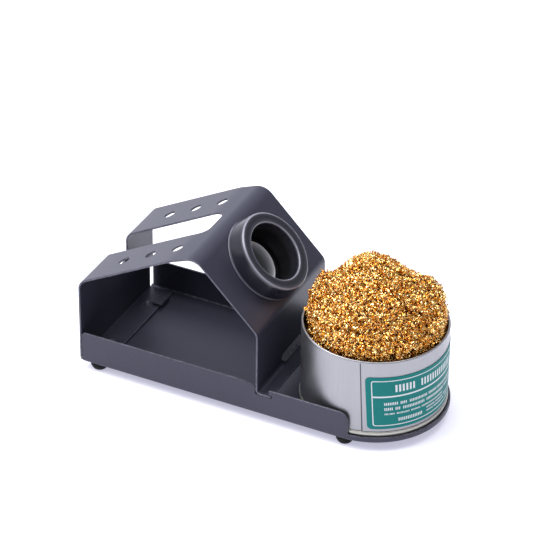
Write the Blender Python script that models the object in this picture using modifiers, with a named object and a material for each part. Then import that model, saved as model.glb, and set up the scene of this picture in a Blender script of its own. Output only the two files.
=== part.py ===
"""Soldering iron stand with a round tin of brass wool.

Two pieces of folded sheet steel make the stand: a low tray on four rubber feet, and a
bracket that hooks into the tray and holds the iron in a turned collar.  A straight-sided
tin full of brass wool stands in the round end of the tray.

Every piece is modelled in the tray's own frame: x runs along the tray from the bracket's
outer wall, y runs back from the front flange, z runs up from the underside of the tray.
The empty "stand_origin" carries that frame, so that the finished stand is centred on
the world's origin and its feet stand on z = 0.
"""

import math

import bmesh
import bpy
from mathutils import Matrix, Vector

MM = 0.001

# Driving dimensions
WIDTH = 80.4 * MM  # across both flanges, and the diameter of the round end
LENGTH = 192.6 * MM  # from the bracket's outer wall to the round end
SHEET = 1.1 * MM  # steel sheet with its powder coat
GAP = 0.3 * MM  # between neighbouring pieces
FLANGE_HEIGHT = 18.4 * MM
LIP_HEIGHT = 4.0 * MM
FOOT_HEIGHT = 4.4 * MM
TIN_RADIUS = 38.3 * MM
TIN_HEIGHT = 47.7 * MM
WOOL_RISE = 33.6 * MM  # how far the wool stands out of the tin

# Bracket, as seen from the front
WALL_TOP = 49.9 * MM  # height of the corner between the left wall and the top panel
SHOULDER_X = 54.0 * MM  # where the top panel starts to level off
SHOULDER_Z = 79.2 * MM
RIDGE_X = 68.75 * MM
RIDGE_Z = 84.95 * MM
FACE_END_X = 104.7 * MM  # foot of the sloped face, and the outer side of the right wall
FACE_END_Z = 49.0 * MM
LEFT_FOOT_REACH = 15.0 * MM
SHELF_TOP = 13.1 * MM  # upper side of the right wall's foot
SHELF_REACH = 8.0 * MM
FOOT_FOLD, LEFT_FOLD, SHOULDER_FOLD = 2.4 * MM, 7.0 * MM, 40.0 * MM
RIDGE_FOLD, FACE_FOLD, SHELF_FOLD = 9.0 * MM, 6.0 * MM, 2.0 * MM
SIDE_RELIEF = 3.6 * MM  # the left foot is this much narrower at each side

# Openings in the bracket
SLOT_WIDTH = 23.0 * MM
SLOT_END_X = 60.0 * MM
SLOT_BOTTOM = 33.5 * MM
SLOT_CORNER = 6.0 * MM
TIP_HOLE_RADIUS = 3.15 * MM
TIP_HOLE_FIRST = 22.2 * MM  # along the top panel, from its lower corner
TIP_HOLE_PITCH = 17.9 * MM
TIP_HOLE_INSET = 14.8 * MM
TAB_WIDTH = 22.0 * MM
TAB_TOP = 18.6 * MM
TAB_DROP = 4.0 * MM
TAB_LEAN = 1.9 * MM

# Notch in each flange, which takes the edge of the bracket's shelf
NOTCH_START = 103.3 * MM
NOTCH_OPEN_END = 111.1 * MM
NOTCH_FLOOR = 11.6 * MM
UNDERCUT_END = 113.1 * MM
UNDERCUT_TOP = 13.5 * MM
RAMP_START = 95.5 * MM
RAMP_END_HEIGHT = 17.0 * MM
RIGHT_FLANGE_HEIGHT = 16.4 * MM
FLANGE_START = 1.3 * MM
FLANGE_END = 156.3 * MM

# Hooks lanced up from the tray, which hold down the bracket's left foot
HOOK_CENTRE_INSET = 14.7 * MM
HOOK_WIDTH = 9.0 * MM
HOOK_TIP_X = 10.2 * MM
HOOK_ROOT_X = 16.4 * MM
HOOK_SHEET = 0.9 * MM
BUMP_INSET = 19.3 * MM  # bumps in the left foot, which click past the hooks
BUMP_X = 7.8 * MM
BUMP_SIZE = (2.8 * MM, 4.4 * MM, 2.2 * MM)

# Collar, measured up the sloped face and out along its normal
COLLAR_UP_FACE = 24.8 * MM
COLLAR_RISE = 11.2 * MM
COLLAR_BASE_RADIUS = 23.2 * MM
COLLAR_LIP_RADIUS = 21.6 * MM
MOUTH_RADIUS = 16.4 * MM
THROAT_RADIUS = 13.0 * MM
SPIGOT_RADIUS = 15.4 * MM
SPIGOT_DEPTH = 15.5 * MM  # long, so that a hot barrel is guided and the face shielded

TIN_CENTRE_X = LENGTH - WIDTH / 2
TIN_WALL = 0.5 * MM
TIN_SEAM_RADIUS = 38.8 * MM
TIN_SEAM_HEIGHT = 4.6 * MM
TIN_BEAD_RADIUS = 0.6 * MM
TIN_FLOOR_RAISE = 2.4 * MM
LABEL_HEIGHT = 32.0 * MM
LABEL_LOW_EDGE = 6.6 * MM  # above the bottom of the tin
LABEL_START, LABEL_END = (math.radians(turn) for turn in (-72.0, 62.0))
LABEL_CORNER = 2.6 * MM
LABEL_SHEET = 0.25 * MM

FOOT_RADIUS = 4.8 * MM
FOOT_INSET = 5.6 * MM
FOOT_LEFT_X = 8.8 * MM

ARC_STEP = math.radians(7.5)  # the least turn between two points of an arc
ARC_FLATNESS = 0.03 * MM  # how far an arc's straight pieces may run inside it
CUT = 5 * MM  # how far a cutter reaches past the sheet that it cuts
STAND_HEIGHT = FOOT_HEIGHT + GAP  # from the floor to the underside of the tray
MIDDLE = WIDTH / 2


# --- Scene and materials --------------------------------------------------------------


def clear_scene():
    for obj in list(bpy.data.objects):
        bpy.data.objects.remove(obj)


def new_collection(name):
    collection = bpy.data.collections.new(name)
    bpy.context.scene.collection.children.link(collection)
    return collection


def new_material(name, colour, roughness, metallic):
    material = bpy.data.materials.new(name)
    material.use_nodes = True
    shader = material.node_tree.nodes["Principled BSDF"]
    shader.inputs["Base Color"].default_value = (*colour, 1)
    shader.inputs["Roughness"].default_value = roughness
    shader.inputs["Metallic"].default_value = metallic
    material.diffuse_color = (*colour, 1)
    return material


def new_empty(name, location, parent=None):
    empty = bpy.data.objects.new(name, None)
    empty.location = location
    empty.parent = parent
    PARTS.objects.link(empty)
    return empty


def new_part(name, mesh, material, parent):
    part = bpy.data.objects.new(name, mesh)
    part.parent = parent
    mesh.materials.append(material)
    PARTS.objects.link(part)
    return part


def new_helper(name, mesh, parent):
    """A solid that only cuts or joins: it isn't drawn."""
    helper = bpy.data.objects.new(name, mesh)
    helper.parent = parent
    helper.hide_render = True
    helper.display_type = "WIRE"
    CUTTERS.objects.link(helper)
    return helper


def combine(part, helper, operation):
    boolean = part.modifiers.new(f"{operation} {helper.name}", "BOOLEAN")
    boolean.operation = operation
    boolean.solver = "EXACT"
    boolean.object = helper


# --- Outlines -------------------------------------------------------------------------


def arc_at(before, corner, after, radius):
    """The points of the arc that rounds a corner between two straight runs."""
    towards_before = (before - corner).normalized()
    towards_after = (after - corner).normalized()
    turn = math.pi - towards_before.angle(towards_after)
    reach = radius * math.tan(turn / 2)
    start = corner + towards_before * reach
    to_centre = (towards_before + towards_after).normalized()
    centre = corner + to_centre * math.hypot(reach, radius)
    step_turn = max(ARC_STEP, 2 * math.acos(max(0, 1 - ARC_FLATNESS / radius)))
    steps = max(2, math.ceil(turn / step_turn))
    spoke = start - centre
    side = 1 if spoke.x * towards_before.y - spoke.y * towards_before.x < 0 else -1
    points = []
    for step in range(steps + 1):
        angle = side * turn * step / steps
        cosine, sine = math.cos(angle), math.sin(angle)
        turned = (spoke.x * cosine - spoke.y * sine, spoke.x * sine + spoke.y * cosine)
        points.append(centre + Vector(turned))
    return points


def rounded(corners, closed):
    """A path through (u, v, radius) corners, each rounded by its radius."""
    places = [Vector(corner[:2]) for corner in corners]
    points = []
    for i, (place, corner) in enumerate(zip(places, corners)):
        at_end = not closed and i in (0, len(corners) - 1)
        if at_end or corner[2] == 0:
            points.append(place)
        else:
            after = places[(i + 1) % len(places)]
            points.extend(arc_at(places[i - 1], place, after, corner[2]))
    return points


def rounded_rectangle(low, high, radius):
    (u0, v0), (u1, v1) = low, high
    corners = [(u0, v0), (u1, v0), (u1, v1), (u0, v1)]
    return rounded([(u, v, radius) for u, v in corners], closed=True)


# --- Meshes ---------------------------------------------------------------------------


def mesh_from(shape, name):
    mesh = bpy.data.meshes.new(name)
    shape.to_mesh(mesh)
    shape.free()
    return mesh


def prism(name, outline, thickness, frame):
    """A flat outline with a thickness, centred on the frame's xy plane."""
    curve = bpy.data.curves.new(name, "CURVE")
    curve.dimensions = "2D"
    curve.fill_mode = "BOTH"
    curve.extrude = thickness / 2
    spline = curve.splines.new("POLY")
    spline.points.add(len(outline) - 1)
    for point, place in zip(spline.points, outline):
        point.co = (*place, 0, 1)
    spline.use_cyclic_u = True
    source = bpy.data.objects.new(name, curve)
    bpy.context.scene.collection.objects.link(source)
    graph = bpy.context.evaluated_depsgraph_get()
    mesh = bpy.data.meshes.new_from_object(source.evaluated_get(graph))
    bpy.data.objects.remove(source)
    bpy.data.curves.remove(curve)
    shape = bmesh.new()
    shape.from_mesh(mesh)
    bpy.data.meshes.remove(mesh)
    bmesh.ops.remove_doubles(shape, verts=shape.verts, dist=0.01 * MM)
    bmesh.ops.recalc_face_normals(shape, faces=shape.faces)
    bmesh.ops.transform(shape, matrix=frame, verts=shape.verts)
    return mesh_from(shape, name)


def facing(side):
    """A frame whose xy plane is seen from the front ("front"), the left or above."""
    turns = {
        "front": Matrix.Rotation(math.radians(90), 4, "X"),
        "left": Matrix(((0, 0, 1, 0), (1, 0, 0, 0), (0, 1, 0, 0), (0, 0, 0, 1))),
        "above": Matrix.Identity(4),
    }
    return turns[side]


def block(name, low, high):
    """A box between two corners."""
    shape = bmesh.new()
    bmesh.ops.create_cube(shape, size=1)
    size = Vector(high) - Vector(low)
    centre = (Vector(high) + Vector(low)) / 2
    matrix = Matrix.Translation(centre) @ Matrix.Diagonal((*size, 1))
    bmesh.ops.transform(shape, matrix=matrix, verts=shape.verts)
    return mesh_from(shape, name)


def cylinder(name, radius, depth, frame, segments=24):
    shape = bmesh.new()
    bmesh.ops.create_cone(
        shape, cap_ends=True, segments=segments, radius1=radius, radius2=radius, depth=depth
    )
    bmesh.ops.transform(shape, matrix=frame, verts=shape.verts)
    return mesh_from(shape, name)


def bump(name, size, centre):
    """A small pressed dimple: a flattened ball, half sunk in the sheet."""
    shape = bmesh.new()
    bmesh.ops.create_uvsphere(shape, u_segments=12, v_segments=6, radius=0.5)
    matrix = Matrix.Translation(centre) @ Matrix.Diagonal((*size, 1))
    bmesh.ops.transform(shape, matrix=matrix, verts=shape.verts)
    return mesh_from(shape, name)


def folded_surface(name, path, width, start_y):
    """A path in the xz plane drawn out along y, open on all sides."""
    shape = bmesh.new()
    row = [shape.verts.new((place.x, start_y, place.y)) for place in path]
    edges = [shape.edges.new(pair) for pair in zip(row, row[1:])]
    drawn = bmesh.ops.extrude_edge_only(shape, edges=edges)["geom"]
    moved = [item for item in drawn if isinstance(item, bmesh.types.BMVert)]
    bmesh.ops.translate(shape, verts=moved, vec=(0, width, 0))
    bmesh.ops.recalc_face_normals(shape, faces=shape.faces)
    return mesh_from(shape, name)


def thicken(part, thickness, offset):
    """Gives an open surface its thickness, to one side of its faces."""
    solidify = part.modifiers.new("Sheet", "SOLIDIFY")
    solidify.thickness = thickness
    solidify.offset = offset
    solidify.use_even_offset = True


def turned(name, profile, material, parent, steps, closed):
    """A profile of (radius, height) points turned round z."""
    shape = bmesh.new()
    row = [shape.verts.new((radius, 0, height)) for radius, height in profile]
    pairs = list(zip(row, row[1:]))
    if closed:
        pairs.append((row[-1], row[0]))
    for pair in pairs:
        shape.edges.new(pair)
    part = new_part(name, mesh_from(shape, name), material, parent)
    screw = part.modifiers.new("Turn", "SCREW")
    screw.axis = "Z"
    screw.angle = math.tau
    screw.steps = steps
    screw.render_steps = steps
    screw.use_merge_vertices = True
    screw.merge_threshold = 0.01 * MM
    screw.use_smooth_shade = True
    return part


def turned_path(corners, closed):
    return [tuple(point) for point in rounded(corners, closed)]


# --- Tray -----------------------------------------------------------------------------


def tray_surface():
    """The outer skin of the tray: a floor with a round end, and a wall on three sides."""
    left = 0.5 * MM
    centre = Vector((TIN_CENTRE_X, MIDDLE))
    steps = 40
    edge = [Vector((left, 0))]
    for step in range(steps + 1):
        angle = math.pi * (step / steps - 0.5)
        edge.append(centre + MIDDLE * Vector((math.cos(angle), math.sin(angle))))
    edge.append(Vector((left, WIDTH)))
    shape = bmesh.new()
    corners = [shape.verts.new((place.x, place.y, 0)) for place in edge]
    floor = shape.faces.new(corners)
    last = {corners[0], corners[-1]}
    rim = [side for side in floor.edges if set(side.verts) != last]
    raised = bmesh.ops.extrude_edge_only(shape, edges=rim)["geom"]
    moved = [item for item in raised if isinstance(item, bmesh.types.BMVert)]
    bmesh.ops.translate(shape, verts=moved, vec=(0, 0, FLANGE_HEIGHT))
    folds = [side for side in shape.edges if set(side.link_faces) > {floor}]
    bmesh.ops.bevel(
        shape, geom=folds, offset=1.4 * MM, segments=3, profile=0.5, affect="EDGES"
    )
    bmesh.ops.recalc_face_normals(shape, faces=shape.faces)
    return mesh_from(shape, "base_tray")


def above_flanges():
    """What is cut away above the flanges: their top edge, notch and rounded ends."""
    high = FLANGE_HEIGHT + CUT
    far = LENGTH + CUT
    top = FLANGE_HEIGHT - 0.02 * MM
    corners = [
        (-CUT, high, 0),
        (-CUT, SHEET + GAP, 0),
        (FLANGE_START, SHEET + GAP, 0),
        (FLANGE_START, top, 2 * MM),
        (RAMP_START, top, 0),
        (NOTCH_START, RAMP_END_HEIGHT, 0.6 * MM),
        (NOTCH_START, NOTCH_FLOOR, 1.6 * MM),
        (UNDERCUT_END, NOTCH_FLOOR, 0.4 * MM),
        (UNDERCUT_END, UNDERCUT_TOP, 0.4 * MM),
        (NOTCH_OPEN_END, UNDERCUT_TOP, 0.4 * MM),
        (NOTCH_OPEN_END, RIGHT_FLANGE_HEIGHT, 0.4 * MM),
        (FLANGE_END, RIGHT_FLANGE_HEIGHT, 5 * MM),
        (FLANGE_END, LIP_HEIGHT, 1 * MM),
        (far, LIP_HEIGHT, 0),
        (far, high, 0),
    ]
    frame = Matrix.Translation((0, MIDDLE, 0)) @ facing("front")
    return prism("above_flanges", rounded(corners, closed=True), WIDTH + 2 * CUT, frame)


def hook_mesh(name, centre_y):
    """One hook: it rises from the floor and reaches left over the bracket's foot."""
    underside = 2 * SHEET + 3 * GAP
    height = underside + HOOK_SHEET
    path = [
        (HOOK_ROOT_X + 3 * MM, SHEET - 0.2 * MM, 0),
        (HOOK_ROOT_X + 1 * MM, SHEET - 0.2 * MM, 0),
        (HOOK_ROOT_X, height, 0.6 * MM),
        (HOOK_TIP_X, height, 0),
        (HOOK_TIP_X, underside, 0),
        (HOOK_ROOT_X - HOOK_SHEET, underside, 0.4 * MM),
        (HOOK_ROOT_X - HOOK_SHEET, 0.3 * MM, 0),
        (HOOK_ROOT_X + 3 * MM, 0.3 * MM, 0),
    ]
    frame = Matrix.Translation((0, centre_y, 0)) @ facing("front")
    return prism(name, rounded(path, closed=True), HOOK_WIDTH, frame)


def add_base_tray(steel, frame):
    tray = new_part("base_tray", tray_surface(), steel, frame)
    thicken(tray, SHEET, -1)
    combine(tray, new_helper("above_flanges", above_flanges(), frame), "DIFFERENCE")
    for side, centre_y in (("front", HOOK_CENTRE_INSET), ("back", WIDTH - HOOK_CENTRE_INSET)):
        reach = HOOK_WIDTH / 2 + 0.4 * MM
        low = (HOOK_TIP_X - 0.4 * MM, centre_y - reach, -CUT)
        high = (HOOK_ROOT_X - HOOK_SHEET, centre_y + reach, 2 * SHEET)
        window = new_helper(f"hook_window_{side}", block("window", low, high), frame)
        combine(tray, window, "DIFFERENCE")
        hook = new_helper(f"hook_{side}", hook_mesh("hook", centre_y), frame)
        combine(tray, hook, "UNION")
    return tray


# --- Bracket --------------------------------------------------------------------------


def face_direction():
    """A unit vector up the sloped face, and the one that points out of it."""
    up = Vector((RIDGE_X - FACE_END_X, 0, RIDGE_Z - FACE_END_Z)).normalized()
    return up, Vector((up.z, 0, -up.x))


def top_direction():
    """A unit vector up the top panel, and the one that points out of it."""
    up = Vector((SHOULDER_X, 0, SHOULDER_Z - WALL_TOP)).normalized()
    return up, Vector((-up.z, 0, up.x))


def collar_frame():
    """The frame of the collar: its z axis points out of the sloped face."""
    up, out = face_direction()
    place = Vector((FACE_END_X, MIDDLE, FACE_END_Z)) + up * COLLAR_UP_FACE
    across = out.cross(up)
    turn = Matrix((up, across, out)).transposed().to_4x4()
    return Matrix.Translation(place) @ turn


def bracket_path():
    sole = SHEET + GAP
    corners = [
        (LEFT_FOOT_REACH, sole, 0),
        (0, sole, FOOT_FOLD),
        (0, WALL_TOP, LEFT_FOLD),
        (SHOULDER_X, SHOULDER_Z, SHOULDER_FOLD),
        (RIDGE_X, RIDGE_Z, RIDGE_FOLD),
        (FACE_END_X, FACE_END_Z, FACE_FOLD),
        (FACE_END_X, SHELF_TOP, SHELF_FOLD),
        (FACE_END_X + SHELF_REACH, SHELF_TOP, 0),
    ]
    return rounded(corners, closed=False)


def slot_cutters(frame):
    """The long slot runs up the left wall and on through the top panel."""
    near, far = MIDDLE - SLOT_WIDTH / 2, MIDDLE + SLOT_WIDTH / 2
    fold_height = WALL_TOP - LEFT_FOLD
    plan = rounded_rectangle((-2 * CUT, near), (SLOT_END_X, far), SLOT_CORNER)
    lift = Matrix.Translation((0, 0, fold_height + WALL_TOP / 2))
    panel = prism("slot_panel", plan, WALL_TOP, lift @ facing("above"))
    low, high = (near, SLOT_BOTTOM), (far, fold_height + 2 * SLOT_CORNER)
    wall = prism("slot_wall", rounded_rectangle(low, high, SLOT_CORNER), 2 * CUT, facing("left"))
    return [new_helper(mesh.name, mesh, frame) for mesh in (panel, wall)]


def tip_hole_cutters(frame):
    up, out = top_direction()
    cutters = []
    for row, inset in enumerate((TIP_HOLE_INSET, WIDTH - TIP_HOLE_INSET)):
        for number in range(3):
            along = TIP_HOLE_FIRST + number * TIP_HOLE_PITCH
            place = Vector((0, inset, WALL_TOP)) + up * along
            turn = out.to_track_quat("Z", "Y").to_matrix().to_4x4()
            mesh = cylinder(
                "tip_hole", TIP_HOLE_RADIUS, 2 * CUT, Matrix.Translation(place) @ turn
            )
            cutters.append(new_helper(f"tip_hole_{row}_{number}", mesh, frame))
    return cutters


def relief_cutters(frame):
    """The left foot is narrower, so that it stands between the flanges.

    The wall above it is only cut back at the back.
    """
    top = FLANGE_HEIGHT + GAP
    right = LEFT_FOOT_REACH + CUT
    inside_wall = SHEET + 0.05 * MM
    front = block("relief_front", (inside_wall, -CUT, -CUT), (right, SIDE_RELIEF, top))
    back_low = (-CUT, WIDTH - SIDE_RELIEF, -CUT)
    back = block("relief_back", back_low, (right, WIDTH + CUT, top))
    return [new_helper(mesh.name, mesh, frame) for mesh in (front, back)]


def tab_window(frame):
    low = (FACE_END_X - CUT, MIDDLE - TAB_WIDTH / 2, TAB_TOP - TAB_DROP + 0.6 * MM)
    high = (FACE_END_X + CUT, MIDDLE + TAB_WIDTH / 2, TAB_TOP)
    return new_helper("tab_window", block("tab_window", low, high), frame)


def tab(frame):
    """A tab pressed out of the right wall, leaning out from its upper edge."""
    root = FACE_END_X - SHEET
    corners = [
        (root + 0.2 * MM, TAB_TOP + 0.6 * MM, 0),
        (FACE_END_X, TAB_TOP + 0.6 * MM, 0),
        (FACE_END_X + TAB_LEAN, TAB_TOP - TAB_DROP, 0),
        (FACE_END_X + TAB_LEAN - SHEET, TAB_TOP - TAB_DROP, 0),
        (root + 0.2 * MM, TAB_TOP - 0.6 * MM, 0),
    ]
    outline = [Vector(corner[:2]) for corner in corners]
    place = Matrix.Translation((0, MIDDLE, 0)) @ facing("front")
    width = TAB_WIDTH - 2 * GAP
    return new_helper("tab", prism("tab", outline, width, place), frame)


def foot_bumps(frame):
    """Two bumps pressed up in the left foot, which click past the tray's hooks."""
    height = 2 * SHEET + GAP
    bumps = []
    for side, inset in (("front", BUMP_INSET), ("back", WIDTH - BUMP_INSET)):
        mesh = bump(f"foot_bump_{side}", BUMP_SIZE, (BUMP_X, inset, height))
        bumps.append(new_helper(mesh.name, mesh, frame))
    return bumps


def add_bracket(steel, frame):
    surface = folded_surface("holder_bracket", bracket_path(), WIDTH, 0)
    bracket = new_part("holder_bracket", surface, steel, frame)
    thicken(bracket, SHEET, -1)
    hole = cylinder(
        "collar_hole", SPIGOT_RADIUS + GAP, 4 * CUT, collar_frame(), segments=48
    )
    cutters = slot_cutters(frame) + tip_hole_cutters(frame) + relief_cutters(frame)
    cutters += [tab_window(frame), new_helper("collar_hole", hole, frame)]
    for cutter in cutters:
        combine(bracket, cutter, "DIFFERENCE")
    for addition in [tab(frame), *foot_bumps(frame)]:
        combine(bracket, addition, "UNION")
    return bracket


# --- Collar ---------------------------------------------------------------------------


def add_collar(steel, axis):
    """The mouthpiece: a wide lip outside, and a spigot that goes through the face."""
    seat = GAP
    corners = [
        (MOUTH_RADIUS, COLLAR_RISE, 1.2 * MM),
        (COLLAR_LIP_RADIUS, COLLAR_RISE, 2.2 * MM),
        (COLLAR_BASE_RADIUS, seat, 0),
        (SPIGOT_RADIUS, seat, 0),
        (SPIGOT_RADIUS, -SPIGOT_DEPTH, 1.0 * MM),
        (THROAT_RADIUS, -SPIGOT_DEPTH, 1.0 * MM),
        (THROAT_RADIUS + 0.6 * MM, 0.5 * MM, 0),
    ]
    profile = turned_path(corners, closed=True)
    return turned("iron_collar", profile, steel, axis, 48, closed=True)


def add_retaining_ring(steel, axis):
    """Pushed onto the spigot behind the face, so that the collar can't be pulled out."""
    top = -SHEET - GAP
    inner = SPIGOT_RADIUS + GAP
    corners = [
        (inner, top, 0),
        (inner + 4.0 * MM, top, 0.4 * MM),
        (inner + 4.0 * MM, top - 2.0 * MM, 0.8 * MM),
        (inner, top - 2.0 * MM, 0),
    ]
    profile = turned_path(corners, closed=True)
    return turned("collar_retaining_ring", profile, steel, axis, 48, closed=True)


# --- Tin, label and wool --------------------------------------------------------------


def add_tin_body(tinplate, axis):
    """A rolled sheet with its upper edge curled in; its lower edge is in the seam."""
    outer, inner = TIN_RADIUS, TIN_RADIUS - TIN_WALL
    start = TIN_SEAM_HEIGHT + GAP
    bead = TIN_BEAD_RADIUS
    height = TIN_HEIGHT - bead
    profile = []
    steps = 8
    for step in range(steps + 1):
        angle = 1.25 * math.pi * (1 - step / steps)
        reach = outer - bead + bead * math.cos(angle)
        profile.append((reach, height + bead * math.sin(angle)))
    profile += [(outer, start), (inner, start), (inner, height - 1.2 * bead)]
    return turned("tin_body", profile, tinplate, axis, 60, closed=True)


def add_tin_bottom(tinplate, axis):
    """The end of the tin, with the rolled seam that grips the body round its edge."""
    groove = TIN_RADIUS - TIN_WALL - GAP
    corners = [
        (0, TIN_FLOOR_RAISE + 2 * TIN_WALL, 0),
        (groove - 2 * TIN_WALL, TIN_FLOOR_RAISE + 2 * TIN_WALL, 0),
        (groove - 2 * TIN_WALL, TIN_SEAM_HEIGHT, 0.2 * MM),
        (TIN_SEAM_RADIUS, TIN_SEAM_HEIGHT, 0.6 * MM),
        (TIN_SEAM_RADIUS, 0, 0.8 * MM),
        (groove - 3 * TIN_WALL, 0, 0.4 * MM),
        (groove - 3 * TIN_WALL, TIN_FLOOR_RAISE, 0.3 * MM),
        (0, TIN_FLOOR_RAISE, 0),
    ]
    profile = turned_path(corners, closed=False)
    return turned("tin_bottom", profile, tinplate, axis, 60, closed=False)


def add_tin_label(paper, axis):
    """A printed band with round corners, stuck part of the way round the tin."""
    radius = TIN_RADIUS + GAP
    length = (LABEL_END - LABEL_START) * radius
    columns = 44
    shape = bmesh.new()
    rows = []
    for column in range(columns + 1):
        # Columns crowd together at both ends, where the corners are.
        share = 0.5 - 0.5 * math.cos(math.pi * column / columns)
        from_end = min(share, 1 - share) * length
        inset = max(LABEL_CORNER - from_end, 0)
        cut = LABEL_CORNER - math.sqrt(LABEL_CORNER**2 - inset**2)
        angle = LABEL_START + (LABEL_END - LABEL_START) * share
        spot = Vector((math.cos(angle), math.sin(angle), 0)) * radius
        low = spot + Vector((0, 0, LABEL_LOW_EDGE + cut))
        high = spot + Vector((0, 0, LABEL_LOW_EDGE + LABEL_HEIGHT - cut))
        rows.append((shape.verts.new(low), shape.verts.new(high)))
    for (low, high), (next_low, next_high) in zip(rows, rows[1:]):
        shape.faces.new((low, next_low, next_high, high))
    label = new_part("tin_label", mesh_from(shape, "tin_label"), paper, axis)
    thicken(label, LABEL_SHEET, 1)
    return label


def add_brass_wool(brass, axis):
    """The outer shape of the wool: it fills the tin and stands out of it as a dome."""
    radius = TIN_RADIUS - 2.5 * TIN_BEAD_RADIUS
    bottom = TIN_SEAM_HEIGHT + GAP
    shoulder = TIN_HEIGHT + 3 * MM
    rise = TIN_HEIGHT + WOOL_RISE - shoulder
    steps = 12
    profile = []
    for step in range(steps + 1):
        angle = math.pi / 2 * (1 - step / steps)
        profile.append((radius * math.cos(angle), shoulder + rise * math.sin(angle)))
    profile += [(radius, bottom + 2 * MM), (radius - 2 * MM, bottom), (0, bottom)]
    profile[0] = (0, shoulder + rise)
    return turned("brass_wool", profile, brass, axis, 40, closed=False)


# --- Feet -----------------------------------------------------------------------------


def add_feet(rubber, frame):
    """Four shallow rubber domes under the tray, each flat where it stands."""
    corners = [
        (0, -GAP, 0),
        (FOOT_RADIUS, -GAP, 0),
        (FOOT_RADIUS - 0.2 * MM, -GAP - FOOT_HEIGHT, 1.9 * MM),
        (0, -GAP - FOOT_HEIGHT, 0),
    ]
    profile = turned_path(corners, closed=False)
    places = {
        "foot_front_left": (FOOT_LEFT_X, FOOT_INSET),
        "foot_back_left": (FOOT_LEFT_X, WIDTH - FOOT_INSET),
        "foot_front_right": (TIN_CENTRE_X, FOOT_INSET),
        "foot_back_right": (TIN_CENTRE_X, WIDTH - FOOT_INSET),
    }
    for name, (x, y) in places.items():
        foot = turned(name, profile, rubber, frame, 20, closed=False)
        foot.location = (x, y, 0)


# --- The stand ------------------------------------------------------------------------


def build_stand():
    steel = new_material("powder_coated_steel", (0.075, 0.077, 0.105), 0.5, 0.2)
    collar_steel = new_material("collar_enamel", (0.05, 0.052, 0.072), 0.38, 0.2)
    tinplate = new_material("tinplate", (0.62, 0.62, 0.66), 0.35, 0.9)
    seam = new_material("seam_lacquer", (0.72, 0.71, 0.64), 0.35, 0.8)
    paper = new_material("label_print", (0.012, 0.21, 0.19), 0.45, 0.0)
    brass = new_material("brass", (0.83, 0.52, 0.14), 0.3, 1.0)
    rubber = new_material("rubber", (0.02, 0.02, 0.022), 0.85, 0.0)

    frame = new_empty("stand_origin", (-LENGTH / 2, -MIDDLE, STAND_HEIGHT))
    add_base_tray(steel, frame)
    add_bracket(steel, frame)
    add_feet(rubber, frame)

    collar_axis = new_empty("collar_axis", (0, 0, 0), frame)
    collar_axis.matrix_local = collar_frame()
    add_collar(collar_steel, collar_axis)
    add_retaining_ring(collar_steel, collar_axis)

    tin_axis = new_empty("tin_axis", (TIN_CENTRE_X, MIDDLE, SHEET + GAP), frame)
    add_tin_body(tinplate, tin_axis)
    add_tin_bottom(seam, tin_axis)
    add_tin_label(paper, tin_axis)
    add_brass_wool(brass, tin_axis)


clear_scene()
PARTS = new_collection("soldering_iron_stand")
CUTTERS = new_collection("cutters")
build_stand()
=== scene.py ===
"""How the soldering iron stand looks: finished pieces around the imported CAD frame.

Every piece is modelled in millimetres in the tray's own frame: x runs along the tray from
the bracket's outer wall, y runs back from the front flange, z runs up from the underside
of the tray.  ORIGIN is where that frame's zero lies in the row frame.
"""

import math

import bpy
import numpy as np
from mathutils import Matrix, Vector, geometry, noise


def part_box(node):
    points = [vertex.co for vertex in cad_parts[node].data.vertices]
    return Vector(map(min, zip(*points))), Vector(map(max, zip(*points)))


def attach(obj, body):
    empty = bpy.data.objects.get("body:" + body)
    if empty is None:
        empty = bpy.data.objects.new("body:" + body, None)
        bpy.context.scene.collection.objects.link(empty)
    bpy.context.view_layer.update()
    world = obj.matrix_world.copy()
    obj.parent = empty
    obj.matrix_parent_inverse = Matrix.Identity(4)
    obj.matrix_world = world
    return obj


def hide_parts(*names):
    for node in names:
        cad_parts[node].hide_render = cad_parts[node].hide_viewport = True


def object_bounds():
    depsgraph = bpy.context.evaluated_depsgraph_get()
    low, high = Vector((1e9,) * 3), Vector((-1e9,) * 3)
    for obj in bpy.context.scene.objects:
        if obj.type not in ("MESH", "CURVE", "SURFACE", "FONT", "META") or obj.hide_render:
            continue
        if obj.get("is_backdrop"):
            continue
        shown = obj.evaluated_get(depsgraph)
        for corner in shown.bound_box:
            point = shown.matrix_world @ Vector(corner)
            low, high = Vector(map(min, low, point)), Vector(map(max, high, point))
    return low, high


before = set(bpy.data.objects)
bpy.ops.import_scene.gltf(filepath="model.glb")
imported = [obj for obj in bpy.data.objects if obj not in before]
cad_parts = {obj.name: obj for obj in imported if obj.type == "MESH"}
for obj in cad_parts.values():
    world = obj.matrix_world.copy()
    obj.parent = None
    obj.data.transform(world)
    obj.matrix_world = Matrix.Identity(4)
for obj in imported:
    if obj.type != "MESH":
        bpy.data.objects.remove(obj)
cad_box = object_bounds()

MM = 0.001
SCENE = bpy.context.scene
SEED = 20

TRAY_LOW, TRAY_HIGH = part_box("base_tray")
BRACKET_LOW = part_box("holder_bracket")[0]
ORIGIN = np.array((BRACKET_LOW.x, TRAY_LOW.y, TRAY_LOW.z))

# Driving sizes, in millimetres.  They are the CAD's, but for the foot's fold, the lip's
# height, the slot's lower end and the collar's mouth and throat.
WIDTH = (TRAY_HIGH.y - TRAY_LOW.y) / MM
LENGTH = (TRAY_HIGH.x - BRACKET_LOW.x) / MM
MIDDLE = WIDTH / 2
SHEET = 1.1
GAP = 0.3
EDGE_RADIUS = 0.3  # the powder coat rounds every cut edge
TIN_X = LENGTH - WIDTH / 2
TIN_Z = SHEET + GAP
TIN_RADIUS = 38.3
TIN_HEIGHT = 47.7

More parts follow.
